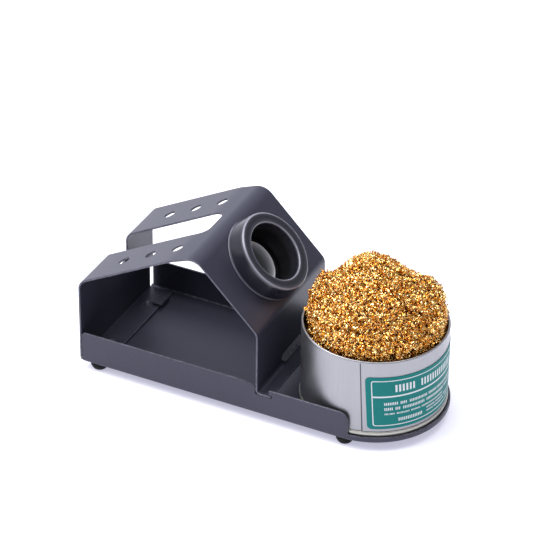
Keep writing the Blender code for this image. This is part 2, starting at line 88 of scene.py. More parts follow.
# Bracket
WALL_TOP = 49.9
SHOULDER_X, SHOULDER_Z = 54.0, 79.2
RIDGE_X, RIDGE_Z = 68.75, 84.95
FACE_END_X, FACE_END_Z = 104.7, 49.0
LEFT_FOOT_REACH = 15.0
SHELF_TOP = 13.1
SHELF_REACH = 8.0
SIDE_RELIEF = 3.6
FOOT_FOLD, LEFT_FOLD = 1.4, 7.0
SLOT_WIDTH = 23.0
SLOT_END_X = 60.0
SLOT_BOTTOM = 34.2
SLOT_CORNER = 6.0
TIP_HOLE_RADIUS = 3.15
TIP_HOLE_FIRST, TIP_HOLE_PITCH, TIP_HOLE_INSET = 22.2, 17.9, 14.8
TAB_WIDTH, TAB_TOP, TAB_DROP, TAB_LEAN = 22.0, 18.6, 4.0, 1.9
COLLAR_UP_FACE = 24.8
SPIGOT_RADIUS = 15.4
SPIGOT_DEPTH = 15.5
COLLAR_TOP, MOUTH_RADIUS, LIP_RADIUS, BASE_RADIUS = 10.95, 16.3, 21.9, 23.2
THROAT_RADIUS, THROAT = 13.0, -5.2  # the tube inside, and the height at which it ends

# Tray
FOLD_RADIUS = 1.4
FLANGE_START, FLANGE_END, FLANGE_HEIGHT, RIGHT_FLANGE_HEIGHT = 1.3, 156.3, 18.4, 16.4
RAMP_START, RAMP_END_HEIGHT = 95.5, 17.0
NOTCH_START, NOTCH_OPEN_END, NOTCH_FLOOR = 103.3, 111.1, 11.6
UNDERCUT_END, UNDERCUT_TOP = 113.1, 13.5
LIP_HEIGHT, LIP_REACH = 3.5, 32  # the lip runs round the last of the tray's length
HOOK_INSET, HOOK_WIDTH, HOOK_SHEET = 14.7, 9.0, 0.9
HOOK_TIP_X, HOOK_ROOT_X = 10.2, 16.4
BUMP_X, BUMP_INSET = 7.8, 19.3
BUMP_HALF_WIDTH, BUMP_HALF_LENGTH, BUMP_HEIGHT = 1.7, 2.6, 1.2


# --- Paths ---


def turned(vector, angle):
    """A vector of the plane, turned counter-clockwise."""
    cosine, sine = math.cos(angle), math.sin(angle)
    x, y = vector
    return np.array((x * cosine - y * sine, x * sine + y * cosine))


def left_of(vector):
    return np.array((-vector[1], vector[0]))


class Path:
    """Straight runs joined by arcs: its points, their left-hand normals and lengths.

    The corners are (u, v, radius).  The arcs are stepped finely, so that the path can be
    read at any length along it.
    """

    def __init__(self, corners, closed=False, step=6.0):
        spots = [np.array(corner[:2], float) for corner in corners]
        count = len(spots)
        points, normals, arcs = [], [], []
        for i, spot in enumerate(spots):
            radius = corners[i][2]
            at_end = not closed and i in (0, count - 1)
            if at_end or radius == 0:
                nearby = spots[i + 1] - spot if i < count - 1 else spot - spots[i - 1]
                points.append(spot)
                normals.append(left_of(nearby / np.linalg.norm(nearby)))
                continue
            arriving = spot - spots[i - 1]
            leaving = spots[(i + 1) % count] - spot
            arriving /= np.linalg.norm(arriving)
            leaving /= np.linalg.norm(leaving)
            cross = arriving[0] * leaving[1] - arriving[1] * leaving[0]
            turn = math.atan2(cross, float(arriving @ leaving))
            start = spot - arriving * radius * math.tan(abs(turn) / 2)
            side = math.copysign(1, turn)
            centre = start + left_of(arriving) * radius * side
            steps = max(2, math.ceil(abs(math.degrees(turn)) / step))
            arcs.append((len(points), len(points) + steps))
            for part in range(steps + 1):
                points.append(centre + turned(start - centre, turn * part / steps))
                normals.append(turned(left_of(arriving), turn * part / steps))
        self.points = np.array(points)
        self.normals = np.array(normals)
        runs = np.linalg.norm(np.diff(self.points, axis=0), axis=1)
        self.lengths = np.concatenate(([0], np.cumsum(runs)))
        self.arcs = arcs
        self.closed = closed

    def at(self, length):
        """The places and normals at these lengths; both ends run on straight."""
        places = [np.interp(length, self.lengths, self.points[:, k]) for k in (0, 1)]
        normals = [np.interp(length, self.lengths, self.normals[:, k]) for k in (0, 1)]
        places, normals = np.array(places), np.array(normals)
        normals /= np.linalg.norm(normals, axis=0)
        before = np.minimum(length, 0)
        after = np.maximum(length - self.lengths[-1], 0)
        first = self.points[1] - self.points[0]
        last = self.points[-1] - self.points[-2]
        places += np.outer(first / np.linalg.norm(first), before)
        places += np.outer(last / np.linalg.norm(last), after)
        return places, normals

    def length_where(self, axis, value, low, high):
        """The length at which a coordinate takes a value, between two lengths."""
        inside = (self.lengths >= low) & (self.lengths <= high)
        coordinate = self.points[inside, axis]
        order = np.argsort(coordinate)
        return float(np.interp(value, coordinate[order], self.lengths[inside][order]))

    def rows(self, step=2):
        """The lengths at which a sheet needs a row of points: at every arc's steps."""
        found = []
        for start, end in self.arcs:
            found += list(self.lengths[start : end + 1 : step]) + [self.lengths[end]]
        return np.unique(np.round(found, 4))


def finer(points, longest, closed=True):
    """The same loop with no side longer than this."""
    result = []
    ends = np.roll(points, -1, axis=0) if closed else points[1:]
    for start, end in zip(points, ends):
        parts = max(1, math.ceil(np.linalg.norm(end - start) / longest))
        result += [start + (end - start) * part / parts for part in range(parts)]
    if not closed:
        result.append(points[-1])
    return np.array(result)


def cut_at_rows(loop, rows):
    """Adds a point to the loop wherever it crosses a row."""
    result = []
    for start, end in zip(loop, np.roll(loop, -1, axis=0)):
        result.append(start)
        span = end[0] - start[0]
        if abs(span) < 1e-6:
            continue
        shares = (rows - start[0]) / span
        for share in np.sort(shares[(shares > 1e-4) & (shares < 1 - 1e-4)]):
            result.append(start + (end - start) * share)
    return apart(np.array(result))


def apart(loop, least=0.06):
    """Drops every point that nearly meets the one before it."""
    kept = [loop[0]]
    for point in loop[1:]:
        if np.linalg.norm(point - kept[-1]) > least:
            kept.append(point)
    if np.linalg.norm(kept[-1] - kept[0]) < least:
        kept.pop()
    return np.array(kept)


def circle(centre, radius, steps):
    """A hole's loop: it runs clockwise, so that the material is on its left."""
    angles = -np.arange(steps) / steps * math.tau
    return np.array(centre) + radius * np.stack((np.cos(angles), np.sin(angles)), 1)


def inside_loops(points, loops):
    """True where a point lies in the first loop and in none of the others."""
    x, y = points.T
    crossings = np.zeros(len(points), int)
    for loop in loops:
        after = np.roll(loop, -1, axis=0)
        for (x0, y0), (x1, y1) in zip(loop, after):
            if y0 == y1:
                continue
            level = (y >= min(y0, y1)) & (y < max(y0, y1))
            crossings += level & (x < x0 + (y - y0) * (x1 - x0) / (y1 - y0))
    return crossings % 2 == 1


# --- Meshes ---


def new_piece(name, points, faces, normals=None, values=None):
    """A mesh object from points in the tray's frame."""
    mesh = bpy.data.meshes.new(name)
    mesh.from_pydata((points * MM + ORIGIN).tolist(), [], faces)
    mesh.shade_smooth()
    for label, value in (values or {}).items():
        layer = mesh.attributes.new(label, "FLOAT", "POINT")
        layer.data.foreach_set("value", value.astype(np.float32))
    if normals is not None:
        mesh.normals_split_custom_set_from_vertices(normals.tolist())
    piece = bpy.data.objects.new(name, mesh)
    SCENE.collection.objects.link(piece)
    return piece


def dress(piece, material, body, slot, *nodes):
    """Gives a piece its material and body, and the CAD nodes that it stands for."""
    piece.data.materials.append(material)
    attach(piece, body)
    if nodes:
        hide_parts(*nodes)


def joined(parts):
    """Several (points, faces, normals, edge) meshes as one."""
    points, faces, normals, edges, base = [], [], [], [], 0
    for part in parts:
        points.append(part[0])
        faces += [tuple(base + corner for corner in face) for face in part[1]]
        normals.append(part[2])
        edges.append(part[3])
        base += len(part[0])
    return np.vstack(points), faces, np.vstack(normals), np.concatenate(edges)


def unit(vectors):
    return vectors / np.maximum(np.linalg.norm(vectors, axis=1, keepdims=True), 1e-12)


def skin_normals(bend, flat, lift):
    """The bent sheet's normals, on the side that a positive lift moves towards."""
    step = 0.01
    along = bend(flat + (step, 0), lift) - bend(flat - (step, 0), lift)
    across = bend(flat + (0, step), lift) - bend(flat - (0, step), lift)
    normals = unit(np.cross(along, across))
    outward = bend(flat, lift + step) - bend(flat, lift)
    side = np.sign(np.sum(normals * outward, axis=1, keepdims=True))
    return normals * side


def sheet(loops, inner, bend, thickness, edge_radius=EDGE_RADIUS, closest=0.8):
    """A bent sheet of even thickness with rounded edges.

    The loops lie in the flat pattern, the outer one counter-clockwise and each hole
    clockwise.  The inner points give the bends their rows.  bend(flat, lift) places flat
    points in space, lifted off the outer face; the sheet lies below that face.
    """
    outward, inset = [], []
    for loop in loops:
        side = unit(np.roll(loop, -1, axis=0) - loop)
        side = unit(side + np.roll(side, 1, axis=0))
        away = np.stack((side[:, 1], -side[:, 0]), 1)
        outward.append(away)
        inset.append(loop - away * edge_radius)
    border = np.vstack(inset)
    inner = inner[inside_loops(inner, inset)]
    clear = np.ones(len(inner), bool)
    for start in range(0, len(inner), 500):
        gaps = np.linalg.norm(inner[start : start + 500, None] - border[None], axis=2)
        clear[start : start + 500] = gaps.min(1) > closest
    flat = np.vstack((border, inner[clear]))
    sides, base = [], 0
    for loop in inset:
        count = len(loop)
        sides += [(base + k, base + (k + 1) % count) for k in range(count)]
        base += count
    found = geometry.delaunay_2d_cdt([Vector(p) for p in flat], sides, [], 0, 1e-5)
    flat = np.array([tuple(p) for p in found[0]])
    new_of = {old: new for new, olds in enumerate(found[3]) for old in olds}
    triangles = np.array([tuple(face) for face in found[2]])
    centres = flat[triangles].mean(1)
    triangles = triangles[inside_loops(centres, inset)]
    count = len(flat)
    zero = np.zeros(count)
    lower = zero - thickness
    top_normals = skin_normals(bend, flat, zero)
    points = [bend(flat, zero), bend(flat, lower)]
    normals = [top_normals, -skin_normals(bend, flat, lower)]
    edge = [zero, zero]
    spots = points[0][triangles]
    facing = np.cross(spots[:, 1] - spots[:, 0], spots[:, 2] - spots[:, 0])
    flip = np.sum(facing * top_normals[triangles[:, 0]]) < 0
    faces = [tuple(t) for t in triangles.tolist()]
    faces += [tuple(count + corner for corner in reversed(t)) for t in faces]
    angles = np.radians((30, 60, 90, 90, 120, 150))
    depths = np.array((0, 0, 0, 1, 1, 1)) * (thickness - 2 * edge_radius)
    base, first = 2 * count, 0
    for loop, away in zip(loops, outward):
        size = len(loop)
        rings = [[new_of[first + k] for k in range(size)]]
        for angle, depth in zip(angles, depths):
            reach = edge_radius * (math.sin(angle) - 1)
            lift = np.full(size, edge_radius * (math.cos(angle) - 1) - depth)
            spot = loop + away * reach
            points.append(bend(spot, lift))
            skin = skin_normals(bend, spot, lift)
            out = unit(bend(spot + away * 0.01, lift) - bend(spot - away * 0.01, lift))
            normals.append(unit(math.cos(angle) * skin + math.sin(angle) * out))
            edge.append(np.full(size, math.sin(angle)))
            rings.append(list(range(base, base + size)))
            base += size
        rings.append([count + new_of[first + k] for k in range(size)])
        for upper, below in zip(rings, rings[1:]):
            for k in range(size):
                after = (k + 1) % size
                # Two corners that the triangulation merged make this a triangle
                corners = dict.fromkeys((upper[k], below[k], below[after], upper[after]))
                if len(corners) > 2:
                    faces.append(tuple(corners))
        first += size
    if flip:
        faces = [tuple(reversed(face)) for face in faces]
    return np.vstack(points), faces, np.vstack(normals), np.concatenate(edge)


def revolved(path, steps, frame_matrix):
    """A profile of (radius, height) turned round an axis, with its exact normals."""
    angles = np.arange(steps) / steps * math.tau
    points, normals, ring_of = [], [], []
    for (radius, height), (along, up) in zip(path.points, path.normals):
        single = radius < 1e-6
        spread = angles[:1] if single else angles
        cosine, sine = np.cos(spread), np.sin(spread)
        ring_of.append((sum(len(p) for p in points), len(spread)))
        level = np.full(len(spread), height)
        points.append(np.stack((radius * cosine, radius * sine, level), 1))
        lean = 0 if single else along
        rise = np.full(len(spread), math.copysign(1, up) if single else up)
        normals.append(np.stack((lean * cosine, lean * sine, rise), 1))
    pairs = list(zip(ring_of, ring_of[1:]))
    if path.closed:
        pairs.append((ring_of[-1], ring_of[0]))
    faces = []
    for (first, size), (second, other) in pairs:
        for k in range(steps):
            after = (k + 1) % steps
            face = [first + k % size, first + after % size]
            face += [second + after % other, second + k % other]
            faces.append(tuple(reversed(dict.fromkeys(face))))
    points, normals = np.vstack(points), unit(np.vstack(normals))
    rotation = np.array(frame_matrix.to_3x3())
    offset = np.array(frame_matrix.translation)
    return points @ rotation.T + offset, faces, normals @ rotation.T


# --- Materials ---


class Finish:
    """A Principled material and short ways to feed it."""

    def __init__(self, name, **sockets):
        self.material = bpy.data.materials.new(name)
        self.material.use_nodes = True
        self.tree = self.material.node_tree
        self.shader = self.tree.nodes["Principled BSDF"]
        for label, value in sockets.items():
            self.shader.inputs[label.replace("_", " ")].default_value = value
        self.place = self.node("ShaderNodeTexCoord").outputs["Object"]

    def node(self, kind, **sockets):
        """A new node: a link feeds its socket, anything else is the socket's value."""
        node = self.tree.nodes.new(kind)
        for label, value in sockets.items():
            socket = node.inputs[label.replace("_", " ")]
            if isinstance(value, bpy.types.NodeSocket):
                self.tree.links.new(value, socket)
            else:
                socket.default_value = value
        return node

    def noise(self, scale, detail=2.0, roughness=0.5, place=None):
        place = place or self.place
        sockets = {"Scale": scale, "Detail": detail, "Roughness": roughness, "Vector": place}
        return self.node("ShaderNodeTexNoise", **sockets).outputs["Fac"]

    def stretched(self, x, y, z):
        node = self.node("ShaderNodeMapping", Scale=(x, y, z), Vector=self.place)
        return node.outputs["Vector"]

    def ramp(self, source, *stops):
        node = self.node("ShaderNodeValToRGB", Fac=source)
        elements = node.color_ramp.elements
        while len(elements) < len(stops):
            elements.new(0.5)
        for element, (position, colour) in zip(elements, stops):
            element.position = position
            element.color = (*colour, 1)
        return node.outputs["Color"]

    def between(self, source, low, high, from_low=0.3, from_high=0.7):
        """Maps one range onto another; noise seldom leaves 0.3 to 0.7."""
        sockets = {"From Min": from_low, "From Max": from_high, "To Min": low, "To Max": high}
        return self.node("ShaderNodeMapRange", Value=source, **sockets).outputs["Result"]

    def mix(self, factor, first, second):
        """Colours or links: the first at factor 0, the second at 1."""
        node = self.tree.nodes.new("ShaderNodeMix")
        node.data_type = "RGBA"
        for value, socket in ((first, node.inputs[6]), (second, node.inputs[7])):
            if isinstance(value, tuple):
                socket.default_value = (*value, 1)
            else:
                self.tree.links.new(value, socket)
        self.tree.links.new(factor, node.inputs[0])
        return node.outputs[2]

    def times(self, first, second):
        node = self.node("ShaderNodeMath")
        node.operation = "MULTIPLY"
        self.tree.links.new(first, node.inputs[0])
        self.tree.links.new(second, node.inputs[1])
        return node.outputs[0]

    def attribute(self, name):
        node = self.node("ShaderNodeAttribute")
        node.attribute_name = name
        return node.outputs["Fac"]

    def bump(self, source, distance, strength, before=None):
        node = self.node("ShaderNodeBump", Strength=strength, Distance=distance, Height=source)
        if before is not None:
            self.tree.links.new(before, node.inputs["Normal"])
        return node.outputs["Normal"]

    def feed(self, label, source):
        self.tree.links.new(source, self.shader.inputs[label])

    def done(self, colour, roughness, normal):
        """The material, once its three main sockets are fed."""
        self.feed("Base Color", colour)
        self.feed("Roughness", roughness)
        self.feed("Normal", normal)
        return self.material


def powder_coat(dark, light, highlight_colour):
    """Baked powder paint: a fine grain and slow waves in it, with a painted highlight, mottled by
    noise, wherever the "edge" attribute is set.
    """
    finish = Finish("powder_coated_steel", Metallic=0.0, Specular_IOR_Level=0.55)
    finish.shader.inputs["Specular Tint"].default_value = (0.83, 0.82, 1.0, 1)
    specks = finish.noise(2400, 2.0)
    clouds = finish.noise(28, 3.0)
    colour = finish.mix(finish.between(specks, 0, 1), dark, light)
    colour = finish.mix(finish.between(clouds, 0, 0.22, 0.35, 0.7), colour, light)
    # Lighter paint along cut edges, the inside of the long folds, the tab and the bumps: a painted
    # highlight, broken up by a noise mottle
    highlight_mottle = finish.noise(420, 4.0, 0.6)
    painted_highlight = finish.times(finish.attribute("edge"), finish.between(highlight_mottle, 0.15, 0.75, 0.35, 0.65))
    colour = finish.mix(painted_highlight, colour, highlight_colour)
    gloss = finish.between(specks, 0.31, 0.43)
    orange_peel = finish.bump(finish.noise(650, 1.0), 0.00004, 0.5)
    return finish.done(colour, gloss, finish.bump(specks, 0.00002, 0.5, orange_peel))


def enamel():
    """Semi-gloss paint on the turned collar, matt inside, with painted highlights on its edges, a
    painted band of light in the tube and painted shade in the bore.
    """
    finish = Finish("collar_enamel", Metallic=0.0, Specular_IOR_Level=0.55)
    clouds = finish.noise(60, 4.0)
    colour = finish.mix(clouds, (0.010, 0.010, 0.016), (0.016, 0.016, 0.025))
    # A lighter grey on three edges where the "thin" attribute is set: painted highlight lines
    thin = finish.times(finish.attribute("thin"), finish.between(clouds, 0.75, 1.0))
    colour = finish.mix(thin, colour, (0.30, 0.30, 0.36))
    # A near-white band in the tube, fading away from its mouth: painted light
    bare = finish.times(finish.attribute("bare"), finish.between(clouds, 0.7, 1.0))
    # The bore is painted near-black and made matt: painted shade
    inside = finish.attribute("inside")
    colour = finish.mix(inside, colour, (0.003, 0.003, 0.004))
    colour = finish.mix(bare, colour, (0.9, 0.9, 0.92))
    gloss = finish.between(finish.noise(900, 2.0), 0.19, 0.27)
    gloss = finish.mix(inside, gloss, (0.6, 0.6, 0.6))
    finish.feed("Specular IOR Level", finish.between(inside, 0.55, 0.15, 0, 1))
    return finish.done(colour, gloss, finish.bump(finish.noise(700, 1.5), 0.00002, 0.5))


def tinplate():
    """Drawn tinplate: satin, with a fine upright grain and a few handling marks."""
    finish = Finish("tinplate", Metallic=0.92)
    grain = finish.noise(60, 3.0, 0.6, finish.stretched(22, 22, 0.6))
    clouds = finish.noise(45, 3.0)
    colour = finish.mix(grain, (0.32, 0.32, 0.34), (0.37, 0.37, 0.39))
    colour = finish.mix(finish.attribute("groove"), colour, (0.10, 0.10, 0.11))
    marks = finish.between(clouds, 0.30, 0.40)
    return finish.done(colour, marks, finish.bump(grain, 0.00001, 0.5))


def lacquer():
    """The rolled seam: tinplate under a warm clear lacquer."""
    finish = Finish("seam_lacquer", Metallic=0.75)
    colour = finish.mix(finish.noise(120, 3.0), (0.46, 0.45, 0.40), (0.56, 0.55, 0.49))
    gloss = finish.between(finish.noise(500, 2.0), 0.3, 0.42)
    return finish.done(colour, gloss, finish.bump(finish.noise(900, 2.0), 0.00001, 0.4))


def print_paper(name, colour, shade):
    """Glossy printed film with a faint mottle in the ink."""
    finish = Finish(name, Metallic=0.0, Specular_IOR_Level=0.12)
    mottle = finish.noise(1500, 3.0)
    gloss = finish.between(mottle, 0.38, 0.5)
    ripple = finish.bump(finish.noise(300, 2.0), 0.00001, 0.3)
    return finish.done(finish.mix(mottle, colour, shade), gloss, ripple)


def brass(name, deep, middle, pale, roughness):
    """Brass shavings: the tone differs from one curl to the next, with painted shade and painted glints
    in a fine mottle.
    """
    finish = Finish(name, Metallic=1.0)
    tone = finish.attribute("tone")
    shade_mottle = finish.noise(700, 2.0)
    colour = finish.ramp(tone, (0.0, deep), (0.5, middle), (1.0, pale))
    # A fine mottle darkens the shavings towards the deep colour: painted shade, as between the curls;
    # it also sets the roughness
    colour = finish.mix(finish.between(shade_mottle, 0, 0.7, 0.45, 0.7), colour, deep)
    # Small pale yellow spots: painted glints
    glint = finish.noise(900, 1.0)
    colour = finish.mix(finish.between(glint, 0, 1.0, 0.54, 0.59), colour, (1.0, 0.83, 0.42))
    gloss = finish.between(shade_mottle, roughness - 0.05, roughness + 0.1)
    return finish.done(colour, gloss, finish.bump(finish.noise(3000, 1.0), 0.00002, 0.4))


def rubber():
    """Black rubber, matt and slightly grainy."""
    finish = Finish("rubber", Metallic=0.0, Specular_IOR_Level=0.15)
    grain = finish.noise(1800, 3.0)
    colour = finish.mix(grain, (0.006, 0.006, 0.007), (0.014, 0.014, 0.015))
    gloss = finish.between(grain, 0.6, 0.85, 0, 1)
    return finish.done(colour, gloss, finish.bump(grain, 0.00004, 0.6))


# --- Bracket ---


BRACKET_PATH = Path(
    [
        (LEFT_FOOT_REACH, SHEET + GAP, 0),
        (0, SHEET + GAP, FOOT_FOLD),
        (0, WALL_TOP, LEFT_FOLD),
        (SHOULDER_X, SHOULDER_Z, 40.0),
        (RIDGE_X, RIDGE_Z, 9.0),
        (FACE_END_X, FACE_END_Z, 6.0),
        (FACE_END_X, SHELF_TOP, 2.0),
        (FACE_END_X + SHELF_REACH, SHELF_TOP, 0),
    ],
    step=2.5,
)
TOP_UP = unit(np.array([(SHOULDER_X, SHOULDER_Z - WALL_TOP)]))[0]
FACE_UP = unit(np.array([(RIDGE_X - FACE_END_X, RIDGE_Z - FACE_END_Z)]))[0]


def bump_lift(flat):
    """How far the left foot is pressed up, at its two bumps."""
    foot_x = LEFT_FOOT_REACH - flat[:, 0]
    lift = np.zeros(len(flat))
    for inset in (BUMP_INSET, WIDTH - BUMP_INSET):
        across = (foot_x - BUMP_X) / BUMP_HALF_WIDTH
        along = (flat[:, 1] - inset) / BUMP_HALF_LENGTH
        reach = np.clip(1.6 * (np.hypot(across, along) - 0.4), 0, 1)
        lift += BUMP_HEIGHT / 2 * (1 + np.cos(math.pi * reach))
    return lift


def bend_bracket(flat, lift):
    places, normals = BRACKET_PATH.at(flat[:, 0])
    raised = lift - bump_lift(flat)
    x = places[0] + normals[0] * raised
    z = places[1] + normals[1] * raised
    return np.stack((x, flat[:, 1], z), 1)


def rounded_loop(corners, hole=False):
    points = Path(corners, closed=True, step=10.0).points
    return points[::-1] if hole else points


def rectangle(low, high, corner, hole=False):
    """A rectangle's loop with rounded corners."""
    (u0, v0), (u1, v1) = low, high
    corners = ((u0, v0), (u1, v0), (u1, v1), (u0, v1))
    return rounded_loop([(u, v, corner) for u, v in corners], hole)


def bracket_mesh():
    path = BRACKET_PATH
    ends = path.lengths[-1]
    wall_low, wall_high = path.lengths[path.arcs[0][1]], path.lengths[path.arcs[1][0]]
    panel_high = path.lengths[path.arcs[3][0]]
    panel_low = path.lengths[path.arcs[1][1]]
    relief = path.length_where(1, FLANGE_HEIGHT + GAP, wall_low, wall_high)
    low_relief = wall_low - 0.75 * FOOT_FOLD
    near, far = SIDE_RELIEF, WIDTH - SIDE_RELIEF
    outline = [
        (0, near, 1.5),
        (low_relief, near, 0.5),
        (low_relief, 0, 0.45),
        (ends, 0, 0.8),
        (ends, WIDTH, 0.8),
        (relief, WIDTH, 0.5),
        (relief, far, 0.5),
        (0, far, 1.5),
    ]
    slot_low = path.length_where(1, SLOT_BOTTOM, wall_low, wall_high)
    slot_high = path.length_where(0, SLOT_END_X, panel_low, panel_high)
    near, far = MIDDLE - SLOT_WIDTH / 2, MIDDLE + SLOT_WIDTH / 2
    slot = rectangle((slot_low, near), (slot_high, far), SLOT_CORNER, hole=True)
    stretch = 1 / TOP_UP[0]
    tip = slot[:, 0] > slot_high - SLOT_CORNER
    slot[tip, 0] = slot_high - (slot_high - slot[tip, 0]) * stretch
    loops = [rounded_loop(outline), slot]
    corner_reach = LEFT_FOLD * math.tan(math.acos(TOP_UP[1]) / 2)
    first_hole = panel_low - corner_reach + TIP_HOLE_FIRST
    for inset in (TIP_HOLE_INSET, WIDTH - TIP_HOLE_INSET):
        for number in range(3):
            centre = (first_hole + number * TIP_HOLE_PITCH, inset)
            loops.append(circle(centre, TIP_HOLE_RADIUS, 40))
    face_low = path.lengths[path.arcs[3][1]]
    face_high = path.lengths[path.arcs[4][0]]
    collar_x = FACE_END_X + FACE_UP[0] * COLLAR_UP_FACE
    collar_s = path.length_where(0, collar_x, face_low, face_high)
    loops.append(circle((collar_s, MIDDLE), SPIGOT_RADIUS + GAP, 72))
    wall_start = path.lengths[path.arcs[4][1]]
    wall_end = path.lengths[path.arcs[5][0]]
    tab_low = wall_start + (path.points[path.arcs[4][1]][1] - TAB_TOP)
    tab_high = min(tab_low + TAB_DROP - 0.6, wall_end)
    near, far = MIDDLE - TAB_WIDTH / 2, MIDDLE + TAB_WIDTH / 2
    loops.append(rectangle((tab_low, near), (tab_high, far), 0.5, hole=True))
    rows = path.rows()
    loops = [cut_at_rows(finer(loop, 2.5), rows) for loop in loops]
    columns = np.arange(1.5, WIDTH - 1, 2.5)
    inner = np.array([(s, y) for s in rows for y in columns])
    dimple = np.arange(-3.2, 3.3, 0.32)  # a fine grid of points at each bump
    for inset in (BUMP_INSET, WIDTH - BUMP_INSET):
        foot_s = LEFT_FOOT_REACH - BUMP_X
        inner = np.vstack((inner, [(foot_s + a, inset + b) for a in dimple for b in dimple]))
    return sheet(loops, np.unique(np.round(inner, 3), axis=0), bend_bracket, SHEET, closest=0.25)


def tab_mesh():
    """The tab that leans out of the right wall from its upper edge."""
    path = Path(
        [
            (FACE_END_X - 0.05, TAB_TOP + 1.6, 0),
            (FACE_END_X - 0.05, TAB_TOP + 0.6, 0.8),
            (FACE_END_X + TAB_LEAN, TAB_TOP - TAB_DROP, 0),
        ]
    )
    return strip_mesh(path, MIDDLE - TAB_WIDTH / 2 + GAP, MIDDLE + TAB_WIDTH / 2 - GAP, SHEET, 0.8)


def strip_mesh(path, near, far, thickness, corner):
    """A narrow folded strip between two sides, with its end corners rounded."""

    def bend(flat, lift):
        places, normals = path.at(flat[:, 0])
        across = places[0] + normals[0] * lift
        up = places[1] + normals[1] * lift
        return np.stack((across, flat[:, 1], up), 1)

    rows = path.rows(1)
    loop = rectangle((0, near), (path.lengths[-1], far), corner)
    loop = cut_at_rows(finer(loop, 1.5), rows)
    inner = np.array([(s, y) for s in rows for y in np.arange(near + 1, far - 0.5, 1.0)])
    return sheet([loop], inner, bend, thickness, min(EDGE_RADIUS, thickness * 0.3), 0.2)


# --- Tray ---


TRAY_SECTION = Path([(-MIDDLE - 5, 0, 0), (0, 0, FOLD_RADIUS), (0, 30, 0)], step=3.0)
ROUND_END_STEPS = 66
FLAT_LOSS = FOLD_RADIUS * (2 - math.pi / 2)  # what the fold takes from the two sides


def bend_tray(flat, lift):
    """The flat pattern's rim stands up as flanges; its round end rises as a lip."""
    x, y = flat.T
    over = np.maximum(x - TIN_X, 0)
    away = np.hypot(over, y - MIDDLE)
    scale = np.maximum(away, 1e-9)
    out_x, out_y = over / scale, (y - MIDDLE) / scale
    start = TRAY_SECTION.points[0][0]
    places, normals = TRAY_SECTION.at(away - MIDDLE - start)
    reach = MIDDLE + places[0] - normals[0] * lift
    level = places[1] - normals[1] * lift
    centre_x = np.minimum(x, TIN_X)
    return np.stack((centre_x + out_x * reach, MIDDLE + out_y * reach, level), 1)


def flat_rim(contour):
    """Turns the front flange's (x, height) contour into the flat pattern."""
    x, height = contour.T
    reach = MIDDLE + height - FLAT_LOSS
    turn = np.arcsin(np.clip((x - TIN_X) / MIDDLE, 0, 1))
    flat_x = np.minimum(x, TIN_X) + reach * np.sin(turn)
    return np.stack((flat_x, MIDDLE - reach * np.cos(turn)), 1)


def tray_mesh():
    lip_start = LENGTH - LIP_REACH
    contour = Path(
        [
            (0.2, -3, 0),
            (0.2, SHEET + 2 * GAP, 0.35),
            (FLANGE_START, SHEET + 4 * GAP, 0.3),
            (FLANGE_START, FLANGE_HEIGHT, 2),
            (RAMP_START, FLANGE_HEIGHT, 3),
            (NOTCH_START, RAMP_END_HEIGHT, 0.7),
            (NOTCH_START, NOTCH_FLOOR, 1.6),
            (UNDERCUT_END, NOTCH_FLOOR, 0.4),
            (UNDERCUT_END, UNDERCUT_TOP, 0.4),
            (NOTCH_OPEN_END, UNDERCUT_TOP, 0.4),
            (NOTCH_OPEN_END, RIGHT_FLANGE_HEIGHT, 0.5),
            (FLANGE_END, RIGHT_FLANGE_HEIGHT, 5),
            (FLANGE_END, LIP_HEIGHT, 1),
            (lip_start, LIP_HEIGHT, 0),
        ],
        step=10,
    ).points
    front = flat_rim(finer(contour, 2.4, closed=False))
    first = math.asin((lip_start - TIN_X) / MIDDLE)
    turns = np.linspace(first, math.pi - first, ROUND_END_STEPS)[1:-1]
    reach = MIDDLE + LIP_HEIGHT - FLAT_LOSS
    lip = np.stack((TIN_X + reach * np.sin(turns), MIDDLE - reach * np.cos(turns)), 1)
    back = front[::-1] * (1, -1) + (0, WIDTH)
    loops = [finer(np.vstack((front, lip, back)), 2.5)]
    for centre in (HOOK_INSET, WIDTH - HOOK_INSET):
        reach = HOOK_WIDTH / 2 - 1.2
        low, high = (HOOK_TIP_X - 0.4, centre - reach), (LEFT_FOOT_REACH - 0.8, centre + reach)
        loops.append(finer(rectangle(low, high, 0.6, hole=True), 1.5))
    fold_start = -FOLD_RADIUS
    fold = FOLD_RADIUS * math.pi / 2
    levels = [fold_start - 0.3] + [fold_start + fold * k / 8 for k in range(9)]
    levels += [levels[-1] + 0.5, levels[-1] + 1.0]
    inner = []
    for level in levels:
        radius = MIDDLE + level
        for x in np.arange(2.0, TIN_X, 2.4):
            inner += [(x, MIDDLE - radius), (x, MIDDLE + radius)]
        for turn in np.linspace(0, math.pi, ROUND_END_STEPS):
            spot = (TIN_X + radius * math.sin(turn), MIDDLE - radius * math.cos(turn))
            inner.append(spot)
    return sheet(loops, np.array(inner), bend_tray, SHEET, closest=0.3)


def hook_mesh(centre):
    """A tongue lanced up from the floor, reaching left over the bracket's foot."""
    height = 2 * SHEET + 3 * GAP + HOOK_SHEET
    corners = [(HOOK_TIP_X, height, 0), (HOOK_ROOT_X, height, 1.1), (HOOK_ROOT_X, 0.2, 0)]
    path = Path(corners)
    near, far = centre - HOOK_WIDTH / 2, centre + HOOK_WIDTH / 2
    return strip_mesh(path, near, far, HOOK_SHEET, 0.7)


# --- Collar and feet ---


def collar_frame():
    """Its z axis points out of the sloped face, its x axis up the face."""
    up = Vector((FACE_UP[0], 0, FACE_UP[1]))
    out = Vector((up.z, 0, -up.x))
    place = Vector((FACE_END_X, MIDDLE, FACE_END_Z)) + up * COLLAR_UP_FACE
    turn = Matrix((up, out.cross(up), out)).transposed().to_4x4()
    return Matrix.Translation(place) @ turn


